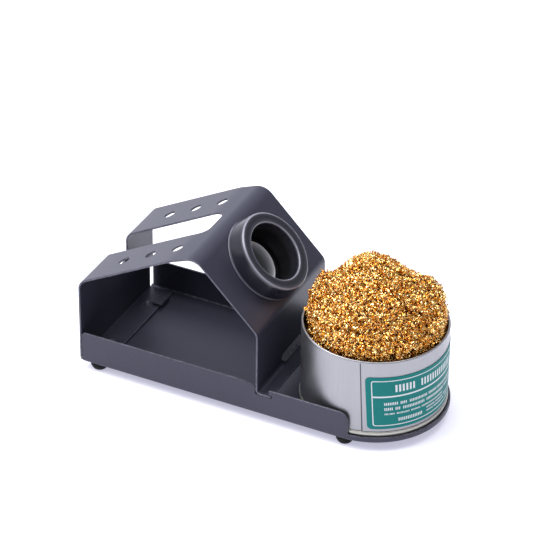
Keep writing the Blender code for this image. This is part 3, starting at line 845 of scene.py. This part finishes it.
def collar_mesh():
    corners = [
        (MOUTH_RADIUS, COLLAR_TOP, 0.9),
        (18.9, COLLAR_TOP - 0.25, 6.0),
        (LIP_RADIUS, COLLAR_TOP + 0.25, 1.1),
        (22.3, 9.3, 1.4),
        (23.07, 1.95, 0),
        (BASE_RADIUS, 0.75, 0.5),
        (BASE_RADIUS + 0.1, GAP, 0.2),
        (SPIGOT_RADIUS, GAP, 0.2),
        (SPIGOT_RADIUS, -SPIGOT_DEPTH, 0.5),
        (THROAT_RADIUS, -SPIGOT_DEPTH, 0.5),
        *((THROAT_RADIUS, THROAT - depth, 0) for depth in (6.0, 3.0, 1.2)),
        (THROAT_RADIUS, THROAT, 0.4),
        (15.2, THROAT, 0.2),
        (15.2, 3.5, 4.0),
        (15.94, 9.35, 0),
    ]
    path = Path(corners, closed=True, step=9)
    radius, height = path.points.T
    # Painted highlights on three edges, a painted band of light in the tube towards its mouth, and
    # painted shade in the bore
    thin = np.zeros(len(radius))
    edges = ((MOUTH_RADIUS, 10.8, 0.5), (LIP_RADIUS - 0.1, 10.9, 0.6), (BASE_RADIUS, 0.6, 0.2))
    for edge_radius, edge_height, reach in edges:
        distance = np.hypot(radius - edge_radius, height - edge_height)
        thin += np.exp(-((distance / reach) ** 2))
    values = {"thin": thin}
    # Where the painted band of light lies in the tube
    values["bare"] = np.where((radius < THROAT_RADIUS + 0.2) & (height < THROAT + 1), 1.0, 0.0)
    values["bare"] *= np.exp((height - THROAT) / 2.6)
    # The bore, which gets painted shade
    values["inside"] = np.where((radius < 15.4) & (height < 9.5), 1.0, 0.0)
    steps = 160
    values = {label: np.repeat(value, steps) for label, value in values.items()}
    return *revolved(path, steps, collar_frame()), values


def ring_mesh():
    top, inner = -SHEET - GAP, SPIGOT_RADIUS + GAP
    corners = [
        (inner, top, 0.2),
        (inner + 4, top, 0.4),
        (inner + 4, top - 2, 0.8),
        (inner, top - 2, 0.3),
    ]
    return revolved(Path(corners, closed=True), 96, collar_frame())


def foot_mesh(node):
    low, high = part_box(node)
    centre = (low + high) / 2
    spot = (np.array((centre.x, centre.y, high.z)) - ORIGIN) / MM
    radius = (high.x - low.x) / 2 / MM
    height = (high.z - low.z) / MM
    corners = [
        (0, 0, 0),
        (radius, 0, 0.25),
        (radius, -height * 0.42, 0.8),
        (radius - 1.3, -height, 1.7),
        (0, -height, 0),
    ]
    return revolved(Path(corners), 48, Matrix.Translation(Vector(spot)))


# --- Tin and label ---


TIN_FRAME = Matrix.Translation((TIN_X, MIDDLE, TIN_Z))
SEAM_TOP, SEAM_FOOT = math.radians(-77.4), math.radians(-74.3)
LABEL_RADIUS = TIN_RADIUS + GAP
LABEL_SHEET = 0.25
LABEL_LOW, LABEL_HEIGHT = 6.6, 32.0
LABEL_START, LABEL_END = math.radians(-72.0), math.radians(62.0)
LABEL_CORNER = 2.6
LABEL_LEAN = 0.065  # the label was stuck on parallel to the seam, which isn't quite upright


def tin_mesh():
    """The tin's wall: curled in at the rim, with a lapped seam down one side."""
    wall, start = 0.5, 4.9
    rim = TIN_HEIGHT
    corners = [
        (TIN_RADIUS, start, 0.1),
        (TIN_RADIUS, rim - 1.6, 1.2),
        (TIN_RADIUS + 0.15, rim - 0.7, 0.6),
        (TIN_RADIUS - 0.1, rim, 0.5),
        (TIN_RADIUS - 1.2, rim, 0.5),
        (TIN_RADIUS - 1.25, rim - 1.2, 0.4),
        (TIN_RADIUS - wall, rim - 1.45, 0.3),
        (TIN_RADIUS - wall, start, 0.1),
    ]
    path = Path(corners, closed=True, step=15)
    near_seam = 0.084  # the turn on each side of the seam that has fine steps
    fine = np.linspace(-near_seam, near_seam, 61)
    coarse = np.linspace(near_seam, math.tau - near_seam, 200)[1:-1]
    turns = np.concatenate((fine, coarse))
    count, rows = len(turns), len(path.points)
    radius = np.repeat(path.points[:, :1], count, axis=1)
    height = np.repeat(path.points[:, 1:], count, axis=1)
    upright = np.abs(path.normals[:, :1]) > 0.5
    outside = upright & (radius > TIN_RADIUS - 0.2) & (height < rim - 0.9)
    offset = np.where(turns > math.pi, turns - math.tau, turns) * TIN_RADIUS
    groove_width, groove_depth, lap_width, lap_height = 0.28, 0.34, 2.2, 0.22
    groove = np.exp(-((offset / groove_width) ** 2))
    lap = np.where(offset > 0, lap_height * np.exp(-((offset / lap_width) ** 2)), 0.0)
    radius = radius + np.where(outside, lap - groove_depth * groove, 0)
    seam = SEAM_FOOT + (SEAM_TOP - SEAM_FOOT) * (height + TIN_Z - 6) / 42.7
    angle = turns[None, :] + seam
    points = np.stack((radius * np.cos(angle), radius * np.sin(angle), height), 2)
    points = points.reshape(-1, 3) + (TIN_X, MIDDLE, TIN_Z)
    faces = []
    for row in range(rows):
        below = (row + 1) % rows
        for k in range(count):
            after = (k + 1) % count
            upper, lower = row * count, below * count
            faces.append((upper + k, upper + after, lower + after, lower + k))
    dark = np.where(outside, groove[None, :], 0).reshape(-1)
    return points, faces, dark


def tin_bottom_mesh():
    groove = TIN_RADIUS - 0.5 - GAP
    seam = 4.6
    corners = [
        (0, 3.4, 0),
        (groove - 1, 3.4, 0.6),
        (groove - 1, seam, 0.2),
        (TIN_RADIUS + 0.1, seam, 0.35),
        (TIN_RADIUS + 0.5, seam - 0.5, 0.5),
        (TIN_RADIUS + 0.5, 2.7, 1.0),
        (TIN_RADIUS - 0.9, 0, 0.8),
        (groove - 1.5, 0, 0.4),
        (groove - 1.5, 2.4, 0.6),
        (0, 2.4, 0),
    ]
    return revolved(Path(corners, step=10), 160, TIN_FRAME)


def on_tin(flat, lift):
    """Points of (length round the tin, height) on the label's surface."""
    lean = LABEL_LEAN * (flat[:, 1] - LABEL_LOW - LABEL_HEIGHT / 2)
    angle = LABEL_START + (flat[:, 0] - lean) / LABEL_RADIUS
    radius = LABEL_RADIUS + lift
    x = TIN_X + radius * np.cos(angle)
    y = MIDDLE + radius * np.sin(angle)
    return np.stack((x, y, flat[:, 1] + TIN_Z), 1)


LABEL_LENGTH = (LABEL_END - LABEL_START) * LABEL_RADIUS


def wrapped(loops, inner, lift, thickness):
    """A thin shape wrapped round the tin, from its loops in the label's flat pattern."""

    def bend(flat, height):
        return on_tin(flat, height + lift + thickness)

    loops = [finer(loop, 1.2) for loop in loops]
    return sheet(loops, np.array(inner), bend, thickness, thickness * 0.4, 0.4)


def patch(low, high, corner, lift, thickness):
    """A cut or printed rectangle."""
    (u0, v0), (u1, v1) = low, high
    corner = min(corner, (u1 - u0) * 0.49, (v1 - v0) * 0.49)
    columns, rows = np.arange(u0 + 1, u1 - 0.5, 1.2), np.arange(v0 + 1, v1 - 0.5, 4.0)
    inner = [(u, v) for u in columns for v in rows] or [((u0 + u1) / 2, (v0 + v1) / 2)]
    return wrapped([rectangle(low, high, corner)], inner, lift, thickness)


def frame_patch(low, high, corner, line, lift, thickness):
    """A printed frame: a rounded rectangle with its middle left open."""
    (u0, v0), (u1, v1) = low, high
    opening = (u0 + line, v0 + line), (u1 - line, v1 - line)
    loops = [rectangle(low, high, corner), rectangle(*opening, corner - line, hole=True)]
    return wrapped(loops, [((u0 + u1) / 2, (v0 + v1) / 2)], lift, thickness)


INK = 0.03  # the print stands this far off the label


def ticks(left, right, low, high, width, pitch):
    """A row of short upright strokes, in place of a word."""
    count = max(1, round((right - left + pitch - width) / pitch))
    starts = left + np.arange(count) * pitch
    flat, faces = [], []
    for start in starts:
        flat += [(start, low), (start + width, low), (start + width, high), (start, high)]
    flat = np.array(flat)
    lower = on_tin(flat, np.zeros(len(flat)))
    upper = on_tin(flat, np.full(len(flat), INK))
    half = len(flat)
    for base in range(0, half, 4):
        top = [half + base + k for k in range(4)]
        faces.append(tuple(top))
        faces.append((base + 3, base + 2, base + 1, base))
        for k in range(4):
            after = (k + 1) % 4
            faces.append((base + k, base + after, top[after], top[k]))
    points = np.vstack((lower, upper))
    return points, faces, unit((points - (TIN_X, MIDDLE, 0)) * (1, 1, 0)), np.zeros(2 * half)


def print_meshes():
    """A generic print: a frame, a dividing line, and strokes where the wording would be."""
    low, high = LABEL_LOW, LABEL_LOW + LABEL_HEIGHT
    right = LABEL_LENGTH
    parts = [frame_patch((3.0, low + 2.0), (right - 3.0, high - 2.0), 1.4, 0.5, 0, INK)]
    parts.append(patch((3.3, low + 19.6), (right - 3.3, low + 20.5), 0.1, 0, INK))
    for start, end in ((15.4, 26.0), (30.2, 56.6)):
        parts.append(ticks(start, end, low + 22.6, low + 27.0, 1.05, 1.95))
    # Each line: its height and the strokes' height, its start, then the ends of its words
    lines = (
        (14.7, 1.7, 9.3, ((0, 7.4), (8.6, 12.4), (13.7, 24.4), (25.8, 31.5), (32.8, 49.0))),
        (11.5, 1.7, 9.3, ((0, 4.6), (5.8, 8.6), (9.9, 22.8), (24.2, 38.6), (40.0, 49.0))),
        (8.8, 1.0, 9.3, ((0, 1.6), (2.6, 5.4), (6.4, 13.4), (14.4, 20.0), (21.0, 38.0))),
        (6.6, 1.0, 33.5, ((0, 6.1), (7.0, 14.2), (15.1, 20.0), (21.0, 30.5))),
        (4.5, 1.0, 33.5, ((0, 4.6), (5.6, 12.2), (13.2, 16.0), (17.0, 25.5))),
        (4.3, 2.0, 16.5, ((0, 13.4),)),
    )
    for height, tall, start, words in lines:
        pitch = 0.72 * tall ** 0.5
        for left, end in words:
            line = (start + left, start + end, low + height, low + height + tall)
            parts.append(ticks(*line, 0.56 * pitch, pitch))
    return parts


# --- Wool ---


# Across the view and away from it, level with the floor
ACROSS = np.array((0.89647, 0.44310))
AWAY = np.array((-0.43683, 0.89954))
WOOL_RADIUS = 36.0
WOOL_BOTTOM = 6.3
WOOL_LIMIT, DOME_LIMIT = 36.6, 38.4  # how far the curls may reach, in the tin and over it
WOOL_RINGS, WOOL_STEPS = 46, 120


def dome_height(x, y):
    """The wool's upper side over the tin, in the tray's frame: a heap with lobes."""
    across = (x - TIN_X) * ACROSS[0] + (y - MIDDLE) * ACROSS[1]
    away = (x - TIN_X) * AWAY[0] + (y - MIDDLE) * AWAY[1]
    reach = np.hypot(across, away) / 37.0
    height = 53.6 + 18.6 * np.clip(1 - reach**2.1, 0, 1) ** 0.9
    lobes = (
        (11.0, 19.4, -3.1, 12.0),
        (7.0, 5.0, -28.5, 12.0),
        (7.0, 8.4, 30.0, 11.7),
        (2.5, 9.0, 10.0, -16.0),
        (2.5, 8.0, -14.0, -20.0),
    )
    for rise, width, at_across, at_away in lobes:
        square = (across - at_across) ** 2 + (away - at_away) ** 2
        height = height + rise * np.exp(-square / width**2)
    return height


def wool_surface():
    """The wool's outer surface: rings of points from the top down to its underside."""
    rows, steps = [], WOOL_STEPS
    turns = np.arange(steps) / steps * math.tau
    slack = 1.9 * np.exp(-(((turns - 3.93) / 0.5) ** 2))  # a gap inside the rim on one side
    for share in np.linspace(0, 1, WOOL_RINGS)[1:]:
        radius = WOOL_RADIUS * math.sin(share * math.pi / 2) - slack * share**4
        x = TIN_X + radius * np.cos(turns)
        y = MIDDLE + radius * np.sin(turns)
        rows.append(np.stack((x, y, dome_height(x, y)), 1))
    edge = rows[-1]
    for share in np.linspace(0, 1, 16)[1:]:
        level = edge[:, 2] * (1 - share) + (WOOL_BOTTOM + 2.5) * share
        rows.append(np.stack((edge[:, 0], edge[:, 1], level), 1))
    for inward in (0.6, 2.5, 9, 18, 27):
        scale = (WOOL_RADIUS - inward) / WOOL_RADIUS
        spot = (edge - (TIN_X, MIDDLE, 0)) * (scale, scale, 0)
        drop = 2.5 * (1 - min(inward, 2.5) / 2.5)
        rows.append(spot + (TIN_X, MIDDLE, WOOL_BOTTOM + drop))
    top = np.array([(TIN_X, MIDDLE, float(dome_height(TIN_X, MIDDLE)))])
    foot = np.array([(TIN_X, MIDDLE, WOOL_BOTTOM)])
    points = np.vstack((top, *rows, foot))
    faces = [(0, 1 + k, 1 + (k + 1) % steps) for k in range(steps)]
    for row in range(len(rows) - 1):
        base = 1 + row * steps
        for k in range(steps):
            after = (k + 1) % steps
            faces.append((base + k, base + steps + k, base + steps + after, base + after))
    base, last = 1 + (len(rows) - 1) * steps, len(points) - 1
    faces += [(base + k, last, base + (k + 1) % steps) for k in range(steps)]
    return points, faces


def surface_samples(points, faces, rng, count, weight):
    """Evenly spread places on the surface with their normals, where the weight isn't nil."""
    triangles = []
    for face in faces:
        triangles.append(face[:3])
        if len(face) == 4:
            triangles.append((face[0], face[2], face[3]))
    triangles = np.array(triangles)
    a, b, c = (points[triangles[:, k]] for k in range(3))
    normals = np.cross(b - a, c - a)
    area = np.linalg.norm(normals, axis=1)
    normals = unit(normals)
    share = area * weight((a + b + c) / 3)
    levels = (np.arange(count) + rng.random(count)) / count * share.sum()
    picked = np.searchsorted(np.cumsum(share), levels)
    u, v = rng.random((2, count, 1))
    fold = (u + v) > 1
    u, v = np.where(fold, 1 - u, u), np.where(fold, 1 - v, v)
    spots = a[picked] + u * (b - a)[picked] + v * (c - a)[picked]
    return spots, normals[picked]


def keep_in_tin(points):
    """Pulls in whatever would reach into the tin's wall or its floor."""
    offset = points[:, :2] - (TIN_X, MIDDLE)
    reach = np.hypot(*offset.T)
    allowed = np.where(points[:, 2] < TIN_Z + TIN_HEIGHT + 0.6, WOOL_LIMIT, DOME_LIMIT)
    scale = np.minimum(1, allowed / np.maximum(reach, 1e-6))
    points[:, :2] = offset * scale[:, None] + (TIN_X, MIDDLE)
    points[:, 2] = np.maximum(points[:, 2], WOOL_BOTTOM - 0.2)
    return points


def curl(rng, spot, normal, depth):
    """One shaving: a narrow ribbon wound into a small bent spring, as three strands."""
    helper = rng.normal(size=3)
    along = unit(np.cross(normal, helper)[None])[0]
    along = unit((along + normal * rng.uniform(-0.35, 0.35))[None])[0]
    side = unit(np.cross(normal, along)[None])[0]
    lift = np.cross(along, side)
    length = rng.uniform(3.4, 6.8)
    radius = rng.uniform(0.5, 0.9)
    pitch = rng.uniform(1.0, 1.4)
    width = rng.uniform(0.62, 0.85)
    turns = length / pitch
    steps = int(turns * 6)
    share = np.linspace(0, 1, steps + 1)
    way = (share - 0.5) * length
    angle = share * turns * math.tau + rng.uniform(0, math.tau)
    angle = angle + 0.6 * np.sin(share * rng.uniform(4, 9) + rng.uniform(0, 6))
    sway = rng.uniform(-0.12, 0.12)
    line = spot - normal * depth + np.outer(way, along) + np.outer(sway * way**2, side)
    line += np.outer(0.5 * np.sin(share * rng.uniform(3, 9) + rng.uniform(0, 6)), side)
    line += np.outer(0.4 * np.sin(share * rng.uniform(3, 9) + rng.uniform(0, 6)), normal)
    swell = radius * (1 + 0.25 * np.sin(share * rng.uniform(6, 14) + rng.uniform(0, 6)))
    spoke = np.outer(np.cos(angle), lift) + np.outer(np.sin(angle), side)
    centre = line + spoke * swell[:, None]
    tilt = rng.uniform(-0.5, 0.5) + rng.normal(0, 0.45, steps + 1)
    broad = unit(np.outer(np.cos(tilt), along) + spoke * np.sin(tilt)[:, None])
    half = (width / 2 * np.minimum(1, 6 * np.minimum(share, 1 - share) + 0.3))[:, None]
    thin = unit(np.cross(broad, np.gradient(centre, axis=0)))
    strands = (centre - broad * half, centre + broad * half, centre + thin * 0.08)
    return keep_in_tin(np.stack(strands, 1).reshape(-1, 3))


def ribbon_mesh(name, strands, tones):
    """All the curls of one piece as one mesh, shaded flat so that every bend glints."""
    points = np.vstack(strands)
    tone = np.concatenate([np.full(len(s), t) for s, t in zip(strands, tones)])
    quads, caps, base = [], [], 0
    for strand in strands:
        rings = len(strand) // 3
        start = base + 3 * np.arange(rings - 1)[:, None]
        for k in range(3):
            after = (k + 1) % 3
            quads.append(np.hstack((start + k, start + after, start + 3 + after, start + 3 + k)))
        caps += [(base + 2, base + 1, base), tuple(base + 3 * (rings - 1) + k for k in range(3))]
        base += len(strand)
    faces = np.vstack(quads).tolist() + caps
    piece = new_piece(name, points, faces, values={"tone": tone})
    piece.data.shade_flat()
    return piece


def add_wool():
    points, faces = wool_surface()
    rng = np.random.default_rng(SEED)
    centre = np.array((TIN_X, MIDDLE, 40.0))
    inward = unit(centre - points)
    core = points + inward * 1.7
    lumps = np.array([noise.noise(Vector(p / 4.5)) for p in core])
    core += inward * (0.9 + lumps[:, None] * 1.6)
    tone = 0.25 + 0.3 * lumps
    base = new_piece("brass_wool_heart", core, faces, values={"tone": tone})
    heart = brass("brass_shade", (0.10, 0.035, 0.006), (0.34, 0.10, 0.010), (0.60, 0.24, 0.03), 0.4)
    dress(base, heart, "wool", "brass_wool", "brass_wool")
    shaving = brass("brass_shaving", (0.56, 0.19, 0.012), (0.84, 0.40, 0.055), (0.95, 0.69, 0.26), 0.17)

    def upper(spots):
        return np.where(spots[:, 2] > 45, 1.0, 0.0)

    def lower(spots):
        return np.where(spots[:, 2] > 45, 0.0, 1.0)

    layers = (
        ("brass_curls_deep", 800, upper, 1.5, 2.3),
        ("brass_curls_middle", 900, upper, 0.8, 1.6),
        ("brass_curls_outer", 900, upper, -0.1, 0.9),
        ("brass_curls_lower", 900, lower, 0.7, 1.5),
    )
    for name, count, weight, shallow, deep in layers:
        spots, normals = surface_samples(points, faces, rng, count, weight)
        depths = rng.uniform(shallow, deep, count)
        strands = [curl(rng, *item) for item in zip(spots, normals, depths)]
        tones = np.clip(rng.normal(0.5, 0.25, count), 0, 1)
        dress(ribbon_mesh(name, strands, tones), shaving, "wool", "brass_wool")


# --- Assembly ---


def add_stand():
    steel = powder_coat((0.019, 0.019, 0.030), (0.031, 0.031, 0.048), (0.14, 0.14, 0.165))
    hooks = [hook_mesh(centre) for centre in (HOOK_INSET, WIDTH - HOOK_INSET)]
    points, faces, normals, edge = joined([tray_mesh(), *hooks])
    x, y, z = points.T
    # A painted highlight along the inside of each long fold
    depth, rise = np.minimum(y, WIDTH - y) - SHEET, z - SHEET
    painted_fold_highlight = (np.abs(depth - 0.1) < 0.2) & (rise > 0.12) & (rise < 0.95) & (x < TIN_X - 40)
    edge = np.maximum(edge, np.where(painted_fold_highlight, 1.5, 0))
    tray = new_piece("tray", points, faces, normals, {"edge": edge})
    dress(tray, steel, "stand", "powder_coated_steel", "base_tray")
    tab = tab_mesh()
    tab = (*tab[:3], np.full(len(tab[0]), 2.0))  # painted highlight all over the tab
    points, faces, normals, edge = joined([bracket_mesh(), tab])
    x, y, z = points.T
    # A painted highlight on the two bumps of the left foot
    for inset in (BUMP_INSET, WIDTH - BUMP_INSET):
        across, along = (x - BUMP_X) / 1.6, (y - inset) / 2.2
        edge += np.where(z < 5, 2.2 * np.exp(-(across**2) - along**2), 0)
    bracket = new_piece("bracket", points, faces, normals, {"edge": edge})
    dress(bracket, steel, "stand", "powder_coated_steel", "holder_bracket")
    paint = enamel()
    collar = new_piece("collar", *collar_mesh())
    dress(collar, paint, "stand", "collar_enamel", "iron_collar")
    ring = new_piece("retaining_ring", *ring_mesh())
    dress(ring, paint, "stand", "collar_enamel", "collar_retaining_ring")
    sole = rubber()
    for side in ("front_left", "back_left", "front_right", "back_right"):
        foot = new_piece(f"rubber_foot_{side}", *foot_mesh(f"foot_{side}"))
        dress(foot, sole, "stand", "rubber", f"foot_{side}")


def add_tin():
    points, faces, dark = tin_mesh()
    wall = new_piece("tin_wall", points, faces, values={"groove": dark})
    dress(wall, tinplate(), "tin", "tinplate", "tin_body")
    seam = new_piece("tin_seam", *tin_bottom_mesh())
    dress(seam, lacquer(), "tin", "seam_lacquer", "tin_bottom")
    low, high = (0, LABEL_LOW), (LABEL_LENGTH, LABEL_LOW + LABEL_HEIGHT)
    points, faces, normals, edge = patch(low, high, LABEL_CORNER, -LABEL_SHEET, LABEL_SHEET)
    label = new_piece("label", points, faces, normals, {"edge": edge})
    teal = print_paper("label_print", (0.008, 0.175, 0.165), (0.012, 0.205, 0.19))
    dress(label, teal, "tin", "label_print", "tin_label")
    points, faces, normals, edge = joined(print_meshes())
    ink = new_piece("label_ink", points, faces, normals, {"edge": edge})
    white = print_paper("label_ink", (0.66, 0.70, 0.71), (0.76, 0.79, 0.80))
    dress(ink, white, "tin", "label_print")


# --- Studio ---


CAMERA_PLACE = (0.54098, -1.12780, 0.88974)
CAMERA_RIGHT = (0.89642, 0.44307, 0.01065)
CAMERA_UP = (-0.25096, 0.48763, 0.83620)
CAMERA_BACK = (0.36530, -0.75226, 0.54832)
LENS, SENSOR = 195.6, 36.0


def add_camera():
    camera = bpy.data.cameras.new("camera")
    camera.lens = LENS
    camera.sensor_width = SENSOR
    camera.clip_start = 0.05
    camera.clip_end = 30
    holder = bpy.data.objects.new("camera", camera)
    turn = Matrix((CAMERA_RIGHT, CAMERA_UP, CAMERA_BACK)).transposed().to_4x4()
    holder.matrix_world = Matrix.Translation(CAMERA_PLACE) @ turn
    SCENE.collection.objects.link(holder)
    SCENE.camera = holder


# The studio's bright walls: the way to each, the dots where it fades in, its strength
WALLS = (
    ((0, 0, 1), -1.0, 1.0, 0.55),
    ((-0.66, 0.75, 0.02), 0.80, 0.97, 0.54),
    ((-0.85, 0.1, 0.5), 0.0, 0.9, 0.5),
)


def add_floor():
    """A glowing white table: its shadows stay pale."""
    finish = Finish("studio_floor", Roughness=0.9, Metallic=0.0, Specular_IOR_Level=0.1)
    faint = finish.noise(3.0, 3.0)
    finish.feed("Base Color", finish.mix(faint, (0.62, 0.62, 0.62), (0.64, 0.64, 0.64)))
    finish.feed("Emission Color", finish.mix(faint, (0.42, 0.42, 0.52), (0.44, 0.44, 0.54)))
    finish.shader.inputs["Emission Strength"].default_value = 1.0
    half = 6.0
    mesh = bpy.data.meshes.new("floor")
    corners = [(-half, -half, 0), (half, -half, 0), (half, half, 0), (-half, half, 0)]
    mesh.from_pydata(corners, [], [(0, 1, 2, 3)])
    mesh.materials.append(finish.material)
    floor = bpy.data.objects.new("floor", mesh)
    SCENE.collection.objects.link(floor)
    floor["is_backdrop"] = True


def soft_light(name, place, target, size, watts):
    lamp = bpy.data.lights.new(name, "AREA")
    lamp.shape = "RECTANGLE"
    lamp.size, lamp.size_y = size
    lamp.energy = watts
    holder = bpy.data.objects.new(name, lamp)
    holder.location = place
    aim = Vector(target) - Vector(place)
    holder.rotation_euler = aim.to_track_quat("-Z", "Y").to_euler()
    SCENE.collection.objects.link(holder)


def studio_walls():
    """White walls all round, brighter behind on the left and on the left."""
    world = bpy.data.worlds.new("studio")
    world.use_nodes = True
    tree = world.node_tree
    sky = tree.nodes["Background"]
    sky.inputs["Color"].default_value = (0.88, 0.90, 1.0, 1)
    ways = tree.nodes.new("ShaderNodeTexCoord").outputs["Generated"]
    total = None
    for way, least, most, level in WALLS:
        dot = tree.nodes.new("ShaderNodeVectorMath")
        dot.operation = "DOT_PRODUCT"
        dot.inputs[1].default_value = Vector(way).normalized()
        tree.links.new(ways, dot.inputs[0])
        part = tree.nodes.new("ShaderNodeMapRange")
        part.interpolation_type = "SMOOTHSTEP"
        part.inputs["From Min"].default_value = least
        part.inputs["From Max"].default_value = most
        part.inputs["To Max"].default_value = level
        tree.links.new(dot.outputs["Value"], part.inputs["Value"])
        if total is None:
            total = part.outputs["Result"]
            continue
        add = tree.nodes.new("ShaderNodeMath")
        tree.links.new(total, add.inputs[0])
        tree.links.new(part.outputs["Result"], add.inputs[1])
        total = add.outputs[0]
    tree.links.new(total, sky.inputs["Strength"])
    return world


def add_studio():
    add_camera()
    add_floor()
    SCENE.world = studio_walls()
    middle = (0, 0, 0.04)
    soft_light("key", (-0.75, -0.35, 1.15), middle, (1.0, 1.0), 18)
    soft_light("top", (0.0, 0.15, 1.5), middle, (1.3, 1.0), 17)
    SCENE.view_settings.view_transform = "Standard"


add_stand()
add_tin()
add_wool()
add_studio()

visual_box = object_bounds()
boxes = {"cad": cad_box, "visual": visual_box}
{key: [list(c) for c in corners] for key, corners in boxes.items()}
